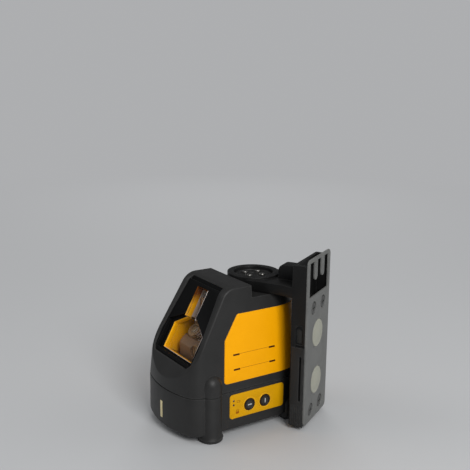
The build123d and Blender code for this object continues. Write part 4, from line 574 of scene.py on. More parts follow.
class Piece:
    """A mesh on the bench, shaped with edit-mode operators and modifiers until it is finished."""

    MERGE: ClassVar[float] = 0.000001
    FLAT_ANGLE: ClassVar[float] = 0.4
    SHARP_ANGLE: ClassVar[float] = 30.0
    EASE_ANGLE: ClassVar[float] = 35.0
    EASE_FACES: ClassVar[int] = 2
    BEAD_FACES: ClassVar[tuple[int, int]] = (64, 14)
    BEAD_SINK: ClassVar[float] = 0.3

    def __init__(self, obj: bpy.types.Object, name: str) -> None:
        """Takes a new object and names it.

        Args:
            obj: The object that an operator has just made.
            name: The piece's name.
        """
        self.obj = obj
        obj.name = name
        obj.data.name = name

    @staticmethod
    def clear_selection() -> None:
        """Leaves edit mode and deselects everything."""
        if bpy.context.view_layer.objects.active and bpy.context.mode != "OBJECT":
            bpy.ops.object.mode_set(mode="OBJECT")
        bpy.ops.object.select_all(action="DESELECT")

    @staticmethod
    def face_outwards() -> None:
        """Selects the whole edit mesh and turns its faces outwards."""
        bpy.ops.mesh.select_all(action="SELECT")
        bpy.ops.mesh.normals_make_consistent(inside=False)

    @classmethod
    def box(cls, name: str, low: Point, high: Point) -> "Piece":
        """Adds a box between two corners, in millimetres.

        Args:
            name: The piece's name.
            low: Lowest corner.
            high: Highest corner.

        Returns:
            The new piece.
        """
        cls.clear_selection()
        middle = [(a + b) / 2 * MM for a, b in zip(low, high)]
        size = [(b - a) * MM for a, b in zip(low, high)]
        bpy.ops.mesh.primitive_cube_add(size=1.0, location=middle, scale=size)
        piece = cls(bpy.context.active_object, name)
        piece.settle()
        return piece

    @classmethod
    def turned(
            cls, name: str, profile: Sequence[Pair], centre: Point, axis: Axis = Axis.Z,
            sides: int = 48) -> "Piece":
        """Builds a turned piece: a filled circle, extruded and scaled ring by ring.

        Args:
            name: The piece's name.
            profile: Radius and height of each ring, in millimetres.
            centre: Where height 0 lies, in millimetres.
            axis: Direction that the heights run along.
            sides: Sides of each ring.

        Returns:
            The new piece, closed at both ends.
        """
        cls.clear_selection()
        radius, height = profile[0]
        bpy.ops.mesh.primitive_circle_add(vertices=sides, radius=radius * MM, fill_type="NGON")
        piece = cls(bpy.context.active_object, name)
        with piece.editing(everything=True):
            bpy.ops.transform.translate(value=(0, 0, height * MM))
            for next_radius, next_height in profile[1:]:
                rise = (0, 0, (next_height - height) * MM)
                bpy.ops.mesh.extrude_region_move(TRANSFORM_OT_translate={"value": rise})
                share = next_radius / radius
                bpy.ops.transform.resize(
                    value=(share, share, 1), center_override=(0, 0, next_height * MM))
                radius, height = next_radius, next_height
            cls.face_outwards()
        return piece.placed(axis, centre)

    @classmethod
    def bead_ring(
            cls, name: str, radius: float, bead: float, centre: Point, axis: Axis,
            rise: float) -> "Piece":
        """Makes a low bead in a ring: a torus flattened, cut along its middle and closed below.

        Args:
            name: The piece's name.
            radius: Middle radius in millimetres.
            bead: Half of the bead's width in millimetres.
            centre: Middle of the ring on the face that it lies on, in millimetres.
            axis: Direction that the bead stands up in.
            rise: Height of the bead in millimetres.

        Returns:
            The new piece, sunk a little into the face.
        """
        cls.clear_selection()
        round_faces, bead_faces = cls.BEAD_FACES
        bpy.ops.mesh.primitive_torus_add(
            major_radius=radius * MM, minor_radius=bead * MM, major_segments=round_faces,
            minor_segments=bead_faces)
        piece = cls(bpy.context.active_object, name)
        piece.obj.scale = (1.0, 1.0, rise / bead)
        piece.settle()
        with piece.editing(everything=True):
            bpy.ops.mesh.bisect(
                plane_co=(0, 0, -cls.BEAD_SINK * rise * MM), plane_no=(0, 0, -1), clear_outer=True)
            bpy.ops.mesh.select_mode(type="EDGE")
            bpy.ops.mesh.select_all(action="DESELECT")
            bpy.ops.mesh.select_non_manifold()
            bpy.ops.mesh.bridge_edge_loops()
            cls.face_outwards()
        return piece.placed(axis, centre)

    @classmethod
    def plate(
            cls, name: str, outline: Sequence[Vector], push: Vector, wall: float = 0.0) -> "Piece":
        """Makes a flat plate from its corners and thickens it, whole or as a frame.

        Args:
            name: The piece's name.
            outline: Corners in order, in millimetres.
            push: Thickness as a direction, in millimetres.
            wall: Width of the frame in millimetres, or 0 for a whole plate.

        Returns:
            The new piece.
        """
        cls.clear_selection()
        bpy.ops.mesh.primitive_circle_add(vertices=len(outline), radius=MM, fill_type="NGON")
        piece = cls(bpy.context.active_object, name)
        with piece.editing(everything=True) as mesh:
            mesh.verts.ensure_lookup_table()
            for vert, corner in zip(mesh.verts, outline):
                vert.co = corner * MM
            bmesh.update_edit_mesh(piece.obj.data)
            if wall:
                bpy.ops.mesh.inset(thickness=wall * MM)
                bpy.ops.mesh.delete(type="FACE")
                bpy.ops.mesh.select_all(action="SELECT")
            bpy.ops.mesh.extrude_region_move(TRANSFORM_OT_translate={"value": push * MM})
            cls.face_outwards()
        return piece

    @classmethod
    def copy_of(cls, node: str, name: str) -> "Piece":
        """Copies a CAD node's mesh and merges its loose triangles.

        Args:
            node: The CAD node.
            name: The piece's name.

        Returns:
            The copy, with flat areas joined into whole faces.
        """
        cls.clear_selection()
        copy = bpy.data.objects.new(name, frame["nodes"][node].data.copy())
        bpy.context.scene.collection.objects.link(copy)
        piece = cls(copy, name)
        copy.data.materials.clear()
        with piece.editing(everything=True):
            bpy.ops.mesh.remove_doubles(threshold=cls.MERGE)
            bpy.ops.mesh.customdata_custom_splitnormals_clear()
            bpy.ops.mesh.select_all(action="SELECT")
            bpy.ops.mesh.dissolve_limited(angle_limit=math.radians(cls.FLAT_ANGLE))
        return piece

    @classmethod
    def gathered(cls, name: str, pieces: Sequence["Piece"]) -> "Piece":
        """Joins pieces into one under a new name."""
        pieces[0].join(pieces[1:])
        return cls(pieces[0].obj, name)

    @contextmanager
    def active(self) -> Iterator[None]:
        """Has the piece alone selected and active while operators run on it.

        Returns:
            A context for the operators.
        """
        self.clear_selection()
        self.obj.select_set(True)
        bpy.context.view_layer.objects.active = self.obj
        yield
        self.obj.select_set(False)

    @contextmanager
    def editing(self, everything: bool = False) -> Iterator[bmesh.types.BMesh]:
        """Opens the piece in edit mode.

        Args:
            everything: True to start with all of it selected, and otherwise nothing.

        Returns:
            A context that gives the edit mesh.
        """
        with self.active():
            bpy.ops.object.mode_set(mode="EDIT")
            bpy.ops.mesh.select_mode(type="FACE")
            bpy.ops.mesh.select_all(action="SELECT" if everything else "DESELECT")
            yield bmesh.from_edit_mesh(self.obj.data)
            bpy.ops.object.mode_set(mode="OBJECT")

    def settle(self) -> None:
        """Moves the object's place, turn and scale into its mesh."""
        with self.active():
            bpy.ops.object.transform_apply(location=True, rotation=True, scale=True)

    def placed(self, axis: Axis, centre: Point) -> "Piece":
        """Stands a piece that was made upright at the origin in its place.

        Args:
            axis: Direction that its Z takes.
            centre: Where its origin goes, in millimetres.

        Returns:
            The piece.
        """
        self.obj.rotation_euler = axis.value
        self.obj.location = [part * MM for part in centre]
        self.settle()
        return self

    def modify(self, kind: str, **settings: object) -> "Piece":
        """Adds a modifier and applies it.

        Args:
            kind: The modifier's type name.
            settings: Properties of the modifier.

        Returns:
            The piece.
        """
        with self.active():
            modifier = self.obj.modifiers.new(kind.lower(), kind)
            for name, value in settings.items():
                setattr(modifier, name, value)
            bpy.ops.object.modifier_apply(modifier=modifier.name)
        return self

    def ease(self, width: float) -> "Piece":
        """Rounds the sharp edges.

        Args:
            width: Bevel width in millimetres.

        Returns:
            The piece.
        """
        return self.modify(
            "BEVEL", width=width * MM, segments=self.EASE_FACES, limit_method="ANGLE",
            angle_limit=math.radians(self.EASE_ANGLE), use_clamp_overlap=True,
            miter_outer="MITER_SHARP")

    def ease_edges(
            self, width: float, test: Callable[[Vector, Vector], bool],
            segments: int = EASE_FACES) -> "Piece":
        """Rounds chosen outer edges in edit mode.

        Args:
            width: Bevel width in millimetres.
            test: True for an edge to round, given its two ends in millimetres.
            segments: Faces across the round.

        Returns:
            The piece.
        """
        with self.editing() as mesh:
            bpy.ops.mesh.select_mode(type="EDGE")
            picked = 0
            for edge in mesh.edges:
                outer = edge.is_manifold and edge.is_convex
                sharp = outer and edge.calc_face_angle() > math.radians(self.SHARP_ANGLE)
                if sharp and test(edge.verts[0].co / MM, edge.verts[1].co / MM):
                    edge.select_set(True)
                    picked += 1
            bmesh.update_edit_mesh(self.obj.data)
            bpy.ops.mesh.bevel(
                offset=width * MM, segments=segments, affect="EDGES", clamp_overlap=False)
        LOG.info("%s: %d edges rounded", self.obj.name, picked)
        return self

    def cut(self, tool: "Piece") -> "Piece":
        """Cuts another piece out of this one and removes it.

        Args:
            tool: The piece to cut with.

        Returns:
            The piece.
        """
        self.modify("BOOLEAN", object=tool.obj, operation="DIFFERENCE", solver="EXACT")
        tool.discard()
        return self

    def discard(self) -> None:
        """Takes the piece off the bench."""
        bpy.data.objects.remove(self.obj)

    def trim(self, place: Vector, away: Vector) -> "Piece":
        """Cuts the piece along a plane and closes the cut.

        Args:
            place: A point on the plane, in millimetres.
            away: Direction of the side that goes.

        Returns:
            The piece.
        """
        with self.editing(everything=True):
            bpy.ops.mesh.bisect(
                plane_co=place * MM, plane_no=away, use_fill=True, clear_outer=True)
            self.face_outwards()
        return self

    def join(self, others: Sequence["Piece"]) -> "Piece":
        """Joins other pieces into this one.

        Args:
            others: The pieces to take in.

        Returns:
            The piece.
        """
        self.clear_selection()
        for piece in [self, *others]:
            piece.obj.select_set(True)
        bpy.context.view_layer.objects.active = self.obj
        bpy.ops.object.join()
        return self

    def twin(self, name: str, shift: Point = (0, 0, 0)) -> "Piece":
        """Copies the piece with a mesh of its own.

        Args:
            name: The copy's name.
            shift: How far the copy is moved, in millimetres.

        Returns:
            The copy.
        """
        self.clear_selection()
        copy = self.obj.copy()
        copy.data = self.obj.data.copy()
        bpy.context.scene.collection.objects.link(copy)
        copy.location = Vector(shift) * MM
        piece = Piece(copy, name)
        piece.settle()
        return piece

    def turn(self, angle: float, axis: Point, centre: Point = (0, 0, 0)) -> "Piece":
        """Turns the mesh about a line.

        Args:
            angle: Degrees.
            axis: The line's direction.
            centre: A point on the line, in millimetres.

        Returns:
            The piece.
        """
        pivot = Vector(centre) * MM
        spin = Matrix.Rotation(math.radians(angle), 4, Vector(axis))
        self.obj.matrix_world = Matrix.Translation(pivot) @ spin @ Matrix.Translation(-pivot)
        self.settle()
        return self

    def smooth(self, angle: float = 32.0) -> "Piece":
        """Shades the round faces smooth and keeps edges sharp.

        Args:
            angle: Edges over this, in degrees, stay sharp.

        Returns:
            The piece.
        """
        with self.active():
            bpy.ops.object.shade_smooth_by_angle(angle=math.radians(angle))
        return self

    def finish(self, finish: Finish, body: str, *nodes: str) -> None:
        """Dresses the piece and hands it to the body that carries it.

        Args:
            finish: Its finish.
            body: The body it moves with.
            nodes: CAD nodes that it stands for.
        """
        self.obj.data.materials.clear()
        self.obj.data.materials.append(finish.material())
        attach(self.obj, body)
        if nodes:
            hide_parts(*nodes)
        LOG.info("%s rides on %s, %d faces", self.obj.name, body, len(self.obj.data.polygons))


def dress_nodes() -> None:
    """Gives every CAD node the finish of its record slot."""
    for row in frame["record"]["subparts"]:
        node = frame["nodes"][row["node"]]
        node.data.materials.clear()
        node.data.materials.append(Finishes.of_slot(row["material_slot"]).material())


def near(value: float, target: float, slack: float = TOUCH) -> bool:
    """True where two lengths in millimetres agree."""
    return abs(value - target) < slack


@dataclass(frozen=True)
class Slope:
    """Sloped front of the hood, as the solids have it."""

    angle: float = 61.1
    foot: Point = (0.0, -72.0, 57.7)

    def outward(self) -> Vector:
        """Gives the direction straight out of the slope."""
        lean = math.radians(self.angle)
        return Vector((0.0, -math.sin(lean), math.cos(lean)))

    def uphill(self) -> Vector:
        """Gives the direction up the slope."""
        lean = math.radians(self.angle)
        return Vector((0.0, math.cos(lean), math.sin(lean)))

    def depth(self, point: Vector) -> float:
        """Gives a point's height over the slope, negative inside, in millimetres."""
        return (point - Vector(self.foot)).dot(self.outward())

    def climb(self, point: Vector) -> float:
        """Gives a point's place up the slope, in millimetres."""
        return (point - Vector(self.foot)).dot(self.uphill())

    def point(self, across: float, climb: float, depth: float) -> Vector:
        """Gives the point at a place on the slope and a height over it, in millimetres."""
        start = Vector(self.foot) + Vector((across, 0, 0))
        return start + climb * self.uphill() + depth * self.outward()


SLOPE = Slope()


@dataclass
class Shell:
    """Both housings, with their outer edges eased, and the pale index mark."""

    rim_round: float = 0.45
    seam_round: float = 0.45
    hinge_round: float = 0.35
    mark_round: float = 0.25
    seam: float = 34.5
    seam_side: float = 33.4
    seam_front: float = -70.0
    seam_radius: float = 33.5
    rim_half: float = 28.3
    rim_climbs: Pair = (-3.3, 60.2)
    rim_floor: float = -0.05
    brow_floor: float = -2.5
    brow_start: float = 52.4
    hood_top: float = 110.5
    hood_rear: float = -21.3
    hinge_edge: Pair = (-13.5, 4.9)

    def build(self) -> None:
        """Builds the shell's pieces."""
        base = Piece.copy_of("base_housing", "base_shell")
        base.ease_edges(self.hinge_round, self.on_hinge_edge)
        base.ease_edges(self.seam_round, self.on_seam)
        base.smooth().finish(Finishes.HOUSING, "housing", "base_housing")
        hood = Piece.copy_of("upper_housing", "hood_shell")
        hood.ease_edges(self.rim_round, self.on_rim)
        hood.smooth().finish(Finishes.HOUSING, "housing", "upper_housing")
        mark = Piece.copy_of("front_index_mark", "index_mark").ease(self.mark_round)
        mark.smooth().finish(Finishes.MARK, "housing", "front_index_mark")

    def on_hinge_edge(self, first: Vector, second: Vector) -> bool:
        """True on the edge under the base that the open battery door comes to."""
        rear, low = self.hinge_edge
        return all(near(end.y, rear) and near(end.z, low) for end in (first, second))

    def on_seam(self, first: Vector, second: Vector) -> bool:
        """True on the base's upper outside edge.

        Args:
            first: One end of an edge.
            second: Its other end.

        Returns:
            True for an edge to round.
        """
        level = near(first.z, self.seam) and near(second.z, self.seam)
        outer = max(abs(first.x), abs(second.x)) > self.seam_side or first.y < self.seam_front
        rear = math.hypot(first.x, first.y) > self.seam_radius and first.y > 0
        return level and (outer or rear)

    def on_rim(self, first: Vector, second: Vector) -> bool:
        """True round the window's recess and along the step behind the hood.

        Args:
            first: One end of an edge.
            second: Its other end.

        Returns:
            True for an edge to round.
        """
        middle = (first + second) / 2
        climb, depth = SLOPE.climb(middle), SLOPE.depth(middle)
        floor = self.rim_floor if climb < self.brow_start else self.brow_floor
        low, high = self.rim_climbs
        recess = abs(middle.x) < self.rim_half and low < climb < high and depth > floor
        step = near(first.y, self.hood_rear) and near(second.y, self.hood_rear)
        return recess or step and min(first.z, second.z) > self.hood_top - 0.1


@dataclass
class Cladding:
    """Yellow wrap panel with its dark dashes and the fine lines that join them."""

    edge_round: float = 0.6
    strip_round: float = 0.05
    draft: float = 5.5
    seam: float = 34.5
    seam_surface: float = 36.3
    dash_heights: Pair = (61.8, 50.8)
    dash_places: Pair = (-37.0, -5.5)
    dash_half: float = 2.75
    dash_rise: float = 0.68
    dash_depths: Pair = (-0.6, 0.03)
    dash_clear: Pair = (3.0, 1.0)
    line_lift: float = 0.28
    line_gap: float = 3.2
    line_rise: float = 0.14
    line_depths: Pair = (-0.3, 0.03)

    def build(self) -> None:
        """Builds the panel, its dashes and its lines."""
        panel = Piece.copy_of("wrap_panel", "yellow_wrap")
        panel.ease_edges(self.edge_round, self.on_outline, segments=3)
        panel.smooth().finish(Finishes.YELLOW, "housing", "wrap_panel")
        between = sum(self.dash_places) / 2
        reach = (self.dash_places[1] - self.dash_places[0]) / 2 - self.line_gap
        dashes, lines = [], []
        for side in (1, -1):
            for height in self.dash_heights:
                for place in self.dash_places:
                    dashes.append(self.strip(
                        side, (place, height), (self.dash_half, self.dash_rise), self.dash_depths))
                lines.append(self.strip(
                    side, (between, height + self.line_lift), (reach, self.line_rise),
                    self.line_depths))
        Piece.gathered("dash_inlays", dashes).smooth().finish(Finishes.INK, "housing")
        Piece.gathered("panel_lines", lines).smooth().finish(Finishes.AMBER_INK, "housing")

    def surface(self, height: float) -> float:
        """Gives how far out the leaning side lies at a height, in millimetres."""
        return self.seam_surface - (height - self.seam) * math.tan(math.radians(self.draft))

    def on_outline(self, first: Vector, second: Vector) -> bool:
        """True on the panel's outer edges, away from the dashes.

        Args:
            first: One end of an edge.
            second: Its other end.

        Returns:
            True for an edge to round.
        """
        middle = (first + second) / 2
        along, up = self.dash_clear
        dash = any(near(middle.z, height, up) for height in self.dash_heights)
        dash = dash and any(near(middle.y, place, along) for place in self.dash_places)
        reach = abs(middle.x) if middle.y < 0 else math.hypot(middle.x, middle.y)
        return not dash and reach > self.surface(middle.z) - 0.3

    def strip(self, side: int, middle: Pair, half: Pair, depths: Pair) -> Piece:
        """Makes one strip that lies in the panel's leaning side.

        Args:
            side: 1 on the keypad's side, -1 on the other.
            middle: Its middle along the side and its height.
            half: Half of its length and half of its own height.
            depths: Its back and face, from the panel's surface.

        Returns:
            The strip.
        """
        (place, height), (along, up) = middle, half
        surface = self.surface(height)
        low = (surface + depths[0], place - along, height - up)
        high = (surface + depths[1], place + along, height + up)
        strip = Piece.box("strip", low, high).ease(self.strip_round)
        strip.turn(-self.draft, (0, 1, 0), (surface, place, height))
        return strip if side > 0 else strip.turn(180, (0, 0, 1), (0, place, height))


@dataclass(frozen=True)
class Screw:
    """Screw with a low domed head and a cross recess for the driver."""

    head_radius: float
    head_height: float
    shank_radius: float
    shank_length: float

    def make(self, name: str, axis: Axis, seat: Point) -> Piece:
        """Makes the screw.

        Args:
            name: The piece's name.
            axis: Direction from the seat to the top of the head.
            seat: Middle of the face that the head bears on, in millimetres.

        Returns:
            The screw.
        """
        top, edge = self.head_height, self.head_radius
        shank, tip = self.shank_radius, -self.shank_length
        profile = [
            (shank * 0.7, tip), (shank, tip + 0.5), (shank, 0), (edge * 0.96, 0),
            (edge, top * 0.12), (edge, top * 0.55), (edge * 0.92, top * 0.82),
            (edge * 0.72, top * 0.97), (edge * 0.4, top)]
        screw = Piece.turned(name, profile, (0, 0, 0), sides=32)
        reach, half, floor = edge * 0.56, edge * 0.11, top * 0.45
        for along, across in ((reach, half), (half, reach)):
            low, high = (-along, -across, floor), (along, across, top + 1)
            screw.cut(Piece.box("driver", low, high))
        return screw.smooth().placed(axis, seat)


@dataclass
class Keypad:
    """Yellow keypad with two round buttons, their bars, two lenses and small plain icons."""

    face: float = 36.4
    face_round: float = 0.45
    middle: float = 21.8
    places: Pair = (-26.7, -12.8)
    halo: Point = (5.3, 0.55, 0.27)
    well: Point = (4.62, 0.34, 0.17)
    stub: float = 31.2
    rise: float = 6.1
    flange: float = 5.4
    cap_radius: float = 4.2
    dish_radius: float = 2.86
    bar_half: Pair = (1.75, 0.42)
    bar_drop: float = 0.22
    bar_thick: float = 0.3
    bar_round: float = 0.08
    lens_place: float = -40.6
    lens_heights: Pair = (27.4, 24.2)
    lens_back: float = 33.2
    lens_radius: float = 0.8
    lens_clear: float = 1.2
    ink_depths: Pair = (-0.1, 0.04)
    ink_round: float = 0.02
    cell_icon: tuple[tuple[float, ...], ...] = (
        (-37.9, 26.9, 2.6, 0.3), (-37.9, 25.5, 2.6, 0.3), (-37.9, 25.5, 0.3, 1.7),
        (-35.6, 25.5, 0.3, 1.7), (-35.3, 26.05, 0.45, 0.6))
    lock_icon: tuple[tuple[float, ...], ...] = (
        (-38.5, 16.9, 2.6, 1.7), (-38.2, 18.6, 0.35, 1.3), (-36.6, 18.6, 0.35, 1.3),
        (-38.2, 19.6, 1.95, 0.35))

    def build(self) -> None:
        """Builds the plate, the buttons and what is printed on them."""
        panel = Piece.copy_of("keypad_panel", "keypad_plate")
        panel.ease_edges(self.face_round, self.on_face, segments=3)
        panel.smooth().finish(Finishes.KEYPAD, "housing", "keypad_panel")
        # The raised halos are real geometry; their lighter yellow is a painted highlight.
        self.rings("button_halos", self.halo, Finishes.YELLOW_PAINTED_HIGHLIGHT)
        self.rings("button_wells", self.well, Finishes.INK)
        cap, face = self.button_cap(), self.button_face()
        for y, way in zip(self.places, ("horizontal", "vertical")):
            body, shift = f"{way}_button", (0, y, 0)
            new_cap = cap.twin(f"{body}_cap", shift).smooth()
            new_cap.finish(Finishes.BUTTON, body, f"{way}_line_button")
            face.twin(f"{body}_face", shift).smooth().finish(Finishes.BUTTON_FACE, body)
            self.bar(y, way == "horizontal").finish(Finishes.WHITE_INK, body)
        cap.discard()
        face.discard()
        self.lenses()
        self.icons()

    def on_face(self, first: Vector, second: Vector) -> bool:
        """True on the outline of the plate's face and round the button holes."""
        small = near((first.y + second.y) / 2, self.lens_place, self.lens_clear)
        return min(first.x, second.x) > self.face - 0.05 and not small

    def rings(self, name: str, sizes: Point, finish: Finish) -> None:
        """Lays a low ring on the plate round each button.

        Args:
            name: The piece's name.
            sizes: Middle radius, half of the width and height of a ring.
            finish: Its finish.
        """
        radius, half, rise = sizes
        rings = [
            Piece.bead_ring("ring", radius, half, (self.face, y, self.middle), Axis.X, rise)
            for y in self.places]
        Piece.gathered(name, rings).smooth(BEAD_ANGLE).finish(finish, "housing")

    def button_cap(self) -> Piece:
        """Turns the dark cap with its flange and raised rim.

        Returns:
            The pattern of both caps.
        """
        wide, rise = self.cap_radius, self.rise
        profile = [
            (wide, 0), (wide, 0.4), (self.flange, 0.4), (self.flange, 1.4), (wide, 1.4),
            (wide, rise - 0.45), (4.05, rise - 0.12), (3.75, rise), (3.3, rise),
            (3.05, rise - 0.2), (2.9, rise - 0.6)]
        return Piece.turned("cap_pattern", profile, (self.stub, 0, self.middle), Axis.X, sides=64)

    def button_face(self) -> Piece:
        """Turns the lighter dished face that lies inside the rim.

        Returns:
            The pattern of both faces.
        """
        wide, rise = self.dish_radius, self.rise
        profile = [
            (wide, rise - 0.7), (wide, rise - 0.36), (2.7, rise - 0.3), (1.8, rise - 0.38),
            (0.8, rise - 0.42)]
        return Piece.turned("face_pattern", profile, (self.stub, 0, self.middle), Axis.X, sides=64)

    def bar(self, y: float, level: bool) -> Piece:
        """Makes the pale bar on a button, level or upright.

        Args:
            y: Middle of the button.
            level: True for the level bar.

        Returns:
            The bar.
        """
        along, up = self.bar_half if level else reversed(self.bar_half)
        top = self.stub + self.rise - self.bar_drop
        low = (top - self.bar_thick, y - along, self.middle - up)
        high = (top, y + along, self.middle + up)
        bar = Piece.box("level_bar" if level else "upright_bar", low, high)
        return bar.ease(self.bar_round).smooth()

    def lenses(self) -> None:
        """Turns the two indicator lenses."""
        wide, reach = self.lens_radius, self.face - self.lens_back
        profile = [
            (wide, 0), (wide, reach), (0.74, reach + 0.12), (0.5, reach + 0.22),
            (0.2, reach + 0.26)]
        lenses = [
            Piece.turned("lens", profile, (self.lens_back, self.lens_place, z), Axis.X, sides=24)
            for z in self.lens_heights]
        domes = Piece.gathered("indicator_domes", lenses).smooth(DOME_ANGLE)
        domes.finish(Finishes.LENS, "housing", "indicator_lenses")

    def icons(self) -> None:
        """Lays a small battery outline and a small padlock on the plate."""
        back, front = (self.face + depth for depth in self.ink_depths)
        marks = [
            Piece.box("mark", (back, y, z), (front, y + along, z + up)).ease(self.ink_round)
            for y, z, along, up in self.cell_icon + self.lock_icon]
        Piece.gathered("keypad_icons", marks).finish(Finishes.AMBER_INK, "housing")


@dataclass
class WindowUnit:
    """Dark surround on the slope, with yellow liners, tan rims and a tan strip whose pale colour is
    a painted highlight, and two clear panes.
    """

    face_depth: float = -1.0
    face_round: float = 0.35
    floor_depth: float = -3.9
    pane_front: float = -5.8
    pane_thick: float = 1.8
    pane_gap: float = 0.45
    slot_pane_front: float = -1.25
    slot_pane_thick: float = 1.3
    slot_pane_gap: float = 0.35
    riser_front: float = -2.5
    riser_thick: float = 3.25
    pane_round: float = 0.08
    trim_round: float = 0.1
    liner_back: float = -9.4
    liner_wall: float = 0.4
    wall_back: float = -24.0
    wall_top: float = 34.0
    ledge_depth: float = -2.6
    slot_back: float = -6.6
    slot_wall: float = 0.3
    slot_inset: float = 0.33
    highlight_strip_reach: float = 5.0
    rim_depth: float = 0.65
    rim_corner: Pair = (-20.6, 1.5)
    neck_margin: float = 0.5
    neck_depth: float = 2.2
    window: tuple[Pair, ...] = ((21.18, 1.52), (21.18, 21.74), (7.38, 30.48))
    slot: tuple[Pair, ...] = ((7.38, 28.0), (7.38, 53.78))
    neck: tuple[Pair, ...] = ((7.3, 30.2), (7.3, 32.1))
    step: Pair = (29.7, 30.9)

    def build(self) -> None:
        """Builds the surround, the rims, the liners and the panes."""
        surround = Piece.copy_of("window_surround", "window_trim")
        surround.ease_edges(self.face_round, self.on_face)
        surround.cut(self.layer("neck_opening", self.neck, self.floor_depth + 0.3, self.neck_depth))
        surround.smooth().finish(Finishes.SURROUND, "housing", "window_surround")
        self.wide_window()
        self.slot_lining()
        self.panes()

    def wide_window(self) -> None:
        """Lines the wide window: a tan rim at the right and below, pale as a painted highlight, and
        the yellow liner.
        """
        low_neck = self.neck[0][1]
        below_neck = SLOPE.point(0, low_neck - self.neck_margin, 0)
        # Painted highlight: a pale rim at the right of the wide window and below it.
        rim = self.layer(
            "window_rim", self.window, self.floor_depth - 0.03, self.rim_depth,
            wall=self.liner_wall)
        corner, neck = Vector(self.rim_corner), Vector((0.0, low_neck))
        across = SLOPE.uphill() * (neck.x - corner.x)
        rim.trim(SLOPE.point(*corner, 0), Vector((corner.y - neck.y, 0, 0)) + across)
        rim.trim(below_neck, SLOPE.uphill()).ease(self.trim_round)
        rim.smooth().finish(Finishes.SLOT_REST, "housing")
        front = self.floor_depth - self.rim_depth - 0.05
        liner = self.layer(
            "window_liner", self.window, front, front - self.liner_back, wall=self.liner_wall)
        liner.trim(below_neck, SLOPE.uphill())
        liner.join([self.side_wall(side) for side in (-1, 1)]).ease(self.trim_round)
        liner.smooth().finish(Finishes.LINER, "housing", "window_gasket")

    def slot_lining(self) -> None:
        """Lines the slot: a tan rim at its right, the yellow liner and the tan strip behind; rim
        and strip are pale as a painted highlight.
        """
        edge = SLOPE.point(self.slot[0][0] - 0.5, 0, 0)
        ledge = (self.face_depth - 0.1, self.ledge_depth)
        # Painted highlight: a pale rim along the slot's right side.
        rim = self.sleeve("slot_rim", 0.0, ledge, self.slot_wall)
        rim.trim(edge, Vector((-1, 0, 0))).ease(self.trim_round)
        rim.smooth().finish(Finishes.SLOT_REST, "housing")
        liner = self.sleeve("slot_liner", 0.0, ledge, self.slot_wall)
        liner.trim(edge, Vector((1, 0, 0)))
        behind = (self.ledge_depth + 0.05, self.slot_back)
        deeper = self.sleeve("slot_liner", self.slot_inset, behind, self.liner_wall)
        liner.join([deeper]).ease(self.trim_round).smooth().finish(Finishes.LINER, "housing")
        # Painted highlight: a pale strip deep in the slot.
        rest = Piece.plate("slot_rest", self.highlight_strip_outline(), SLOPE.outward() * -self.highlight_strip_reach)
        rest.ease(self.trim_round).smooth().finish(Finishes.SLOT_REST, "housing")

    def panes(self) -> None:
        """Fills the wide window and the slot, where the pane steps down at the neck."""
        lower = self.layer(
            "lower_pane", self.window, self.pane_front, self.pane_thick, self.pane_gap)
        lower.ease(self.pane_round).smooth()
        lower.finish(Finishes.WINDOW, "housing", "lower_window_pane")
        half, gap = self.slot[0][0], self.slot_pane_gap
        upper = self.layer(
            "slot_pane", ((half, self.step[0]), self.slot[1]), self.slot_pane_front,
            self.slot_pane_thick, gap)
        riser = self.layer(
            "riser", [(half, s) for s in self.step], self.riser_front, self.riser_thick, gap)
        upper.join([riser]).ease(self.pane_round).smooth()
        upper.finish(Finishes.WINDOW, "housing", "upper_window_pane")

    def on_face(self, first: Vector, second: Vector) -> bool:
        """True on the edges of the surround's raised face."""
        return all(near(SLOPE.depth(end), self.face_depth, 0.03) for end in (first, second))

    def outline(self, half: Sequence[Pair], depth: float, inset: float = 0.0) -> list[Vector]:
        """Gives both halves of an outline as points on the slope.

        Args:
            half: Its right half, from low to high, across and up the slope.
            depth: Its depth.
            inset: How far it is drawn in.

        Returns:
            Its corners in order.
        """
        low, high = half[0][1] + inset, half[-1][1] - inset
        right = [(x - inset, min(max(s, low), high)) for x, s in half]
        left = [(-x, s) for x, s in reversed(right)]
        return [SLOPE.point(x, s, depth) for x, s in right + left]

    def layer(
            self, name: str, half: Sequence[Pair], front: float, thick: float, inset: float = 0.0,
            wall: float = 0.0) -> Piece:
        """Makes a plate, or a frame with a wall, that lies along the slope at a front depth."""
        return Piece.plate(name, self.outline(half, front, inset), SLOPE.outward() * -thick, wall)

    def highlight_strip_outline(self) -> list[Vector]:
        """Gives the corners of the tan strip behind the slot's lining, a painted highlight.

        Returns:
            The corners in order.
        """
        half, top = self.slot[1]
        outer, inner = self.slot_inset - half, self.slot_inset + self.liner_wall - half
        low, high = self.neck[0][1] + 0.8, top - 0.4
        corners = ((outer, low), (inner, low), (inner, high), (outer, high))
        return [SLOPE.point(x, s, self.slot_back + 0.1) for x, s in corners]

    def sleeve(self, name: str, inset: float, depths: Pair, wall: float) -> Piece:
        """Makes a lining of the slot that is open at its lower end.

        Args:
            name: The lining's name.
            inset: How far it is drawn in from the slot's outline.
            depths: Depth of its front and of its back.
            wall: Its thickness.

        Returns:
            The lining.
        """
        front, back = depths
        lining = self.layer(name, self.slot, front, front - back, inset, wall)
        return lining.trim(SLOPE.point(0, self.neck[0][1], 0), -SLOPE.uphill())

    def side_wall(self, side: int) -> Piece:
        """Makes the deeper wall of the liner on one side of the wide window.

        Args:
            side: 1 on the right, -1 on the left.

        Returns:
            The wall.
        """
        (outer, low), high = self.window[0], self.wall_top
        inner = outer - self.liner_wall
        corners = ((outer, low), (outer, high), (inner, high), (inner, low))
        outline = [SLOPE.point(side * x, s, self.liner_back + 0.1) for x, s in corners]
        push = SLOPE.outward() * (self.wall_back - self.liner_back)
        return Piece.plate("side_wall", outline, push)


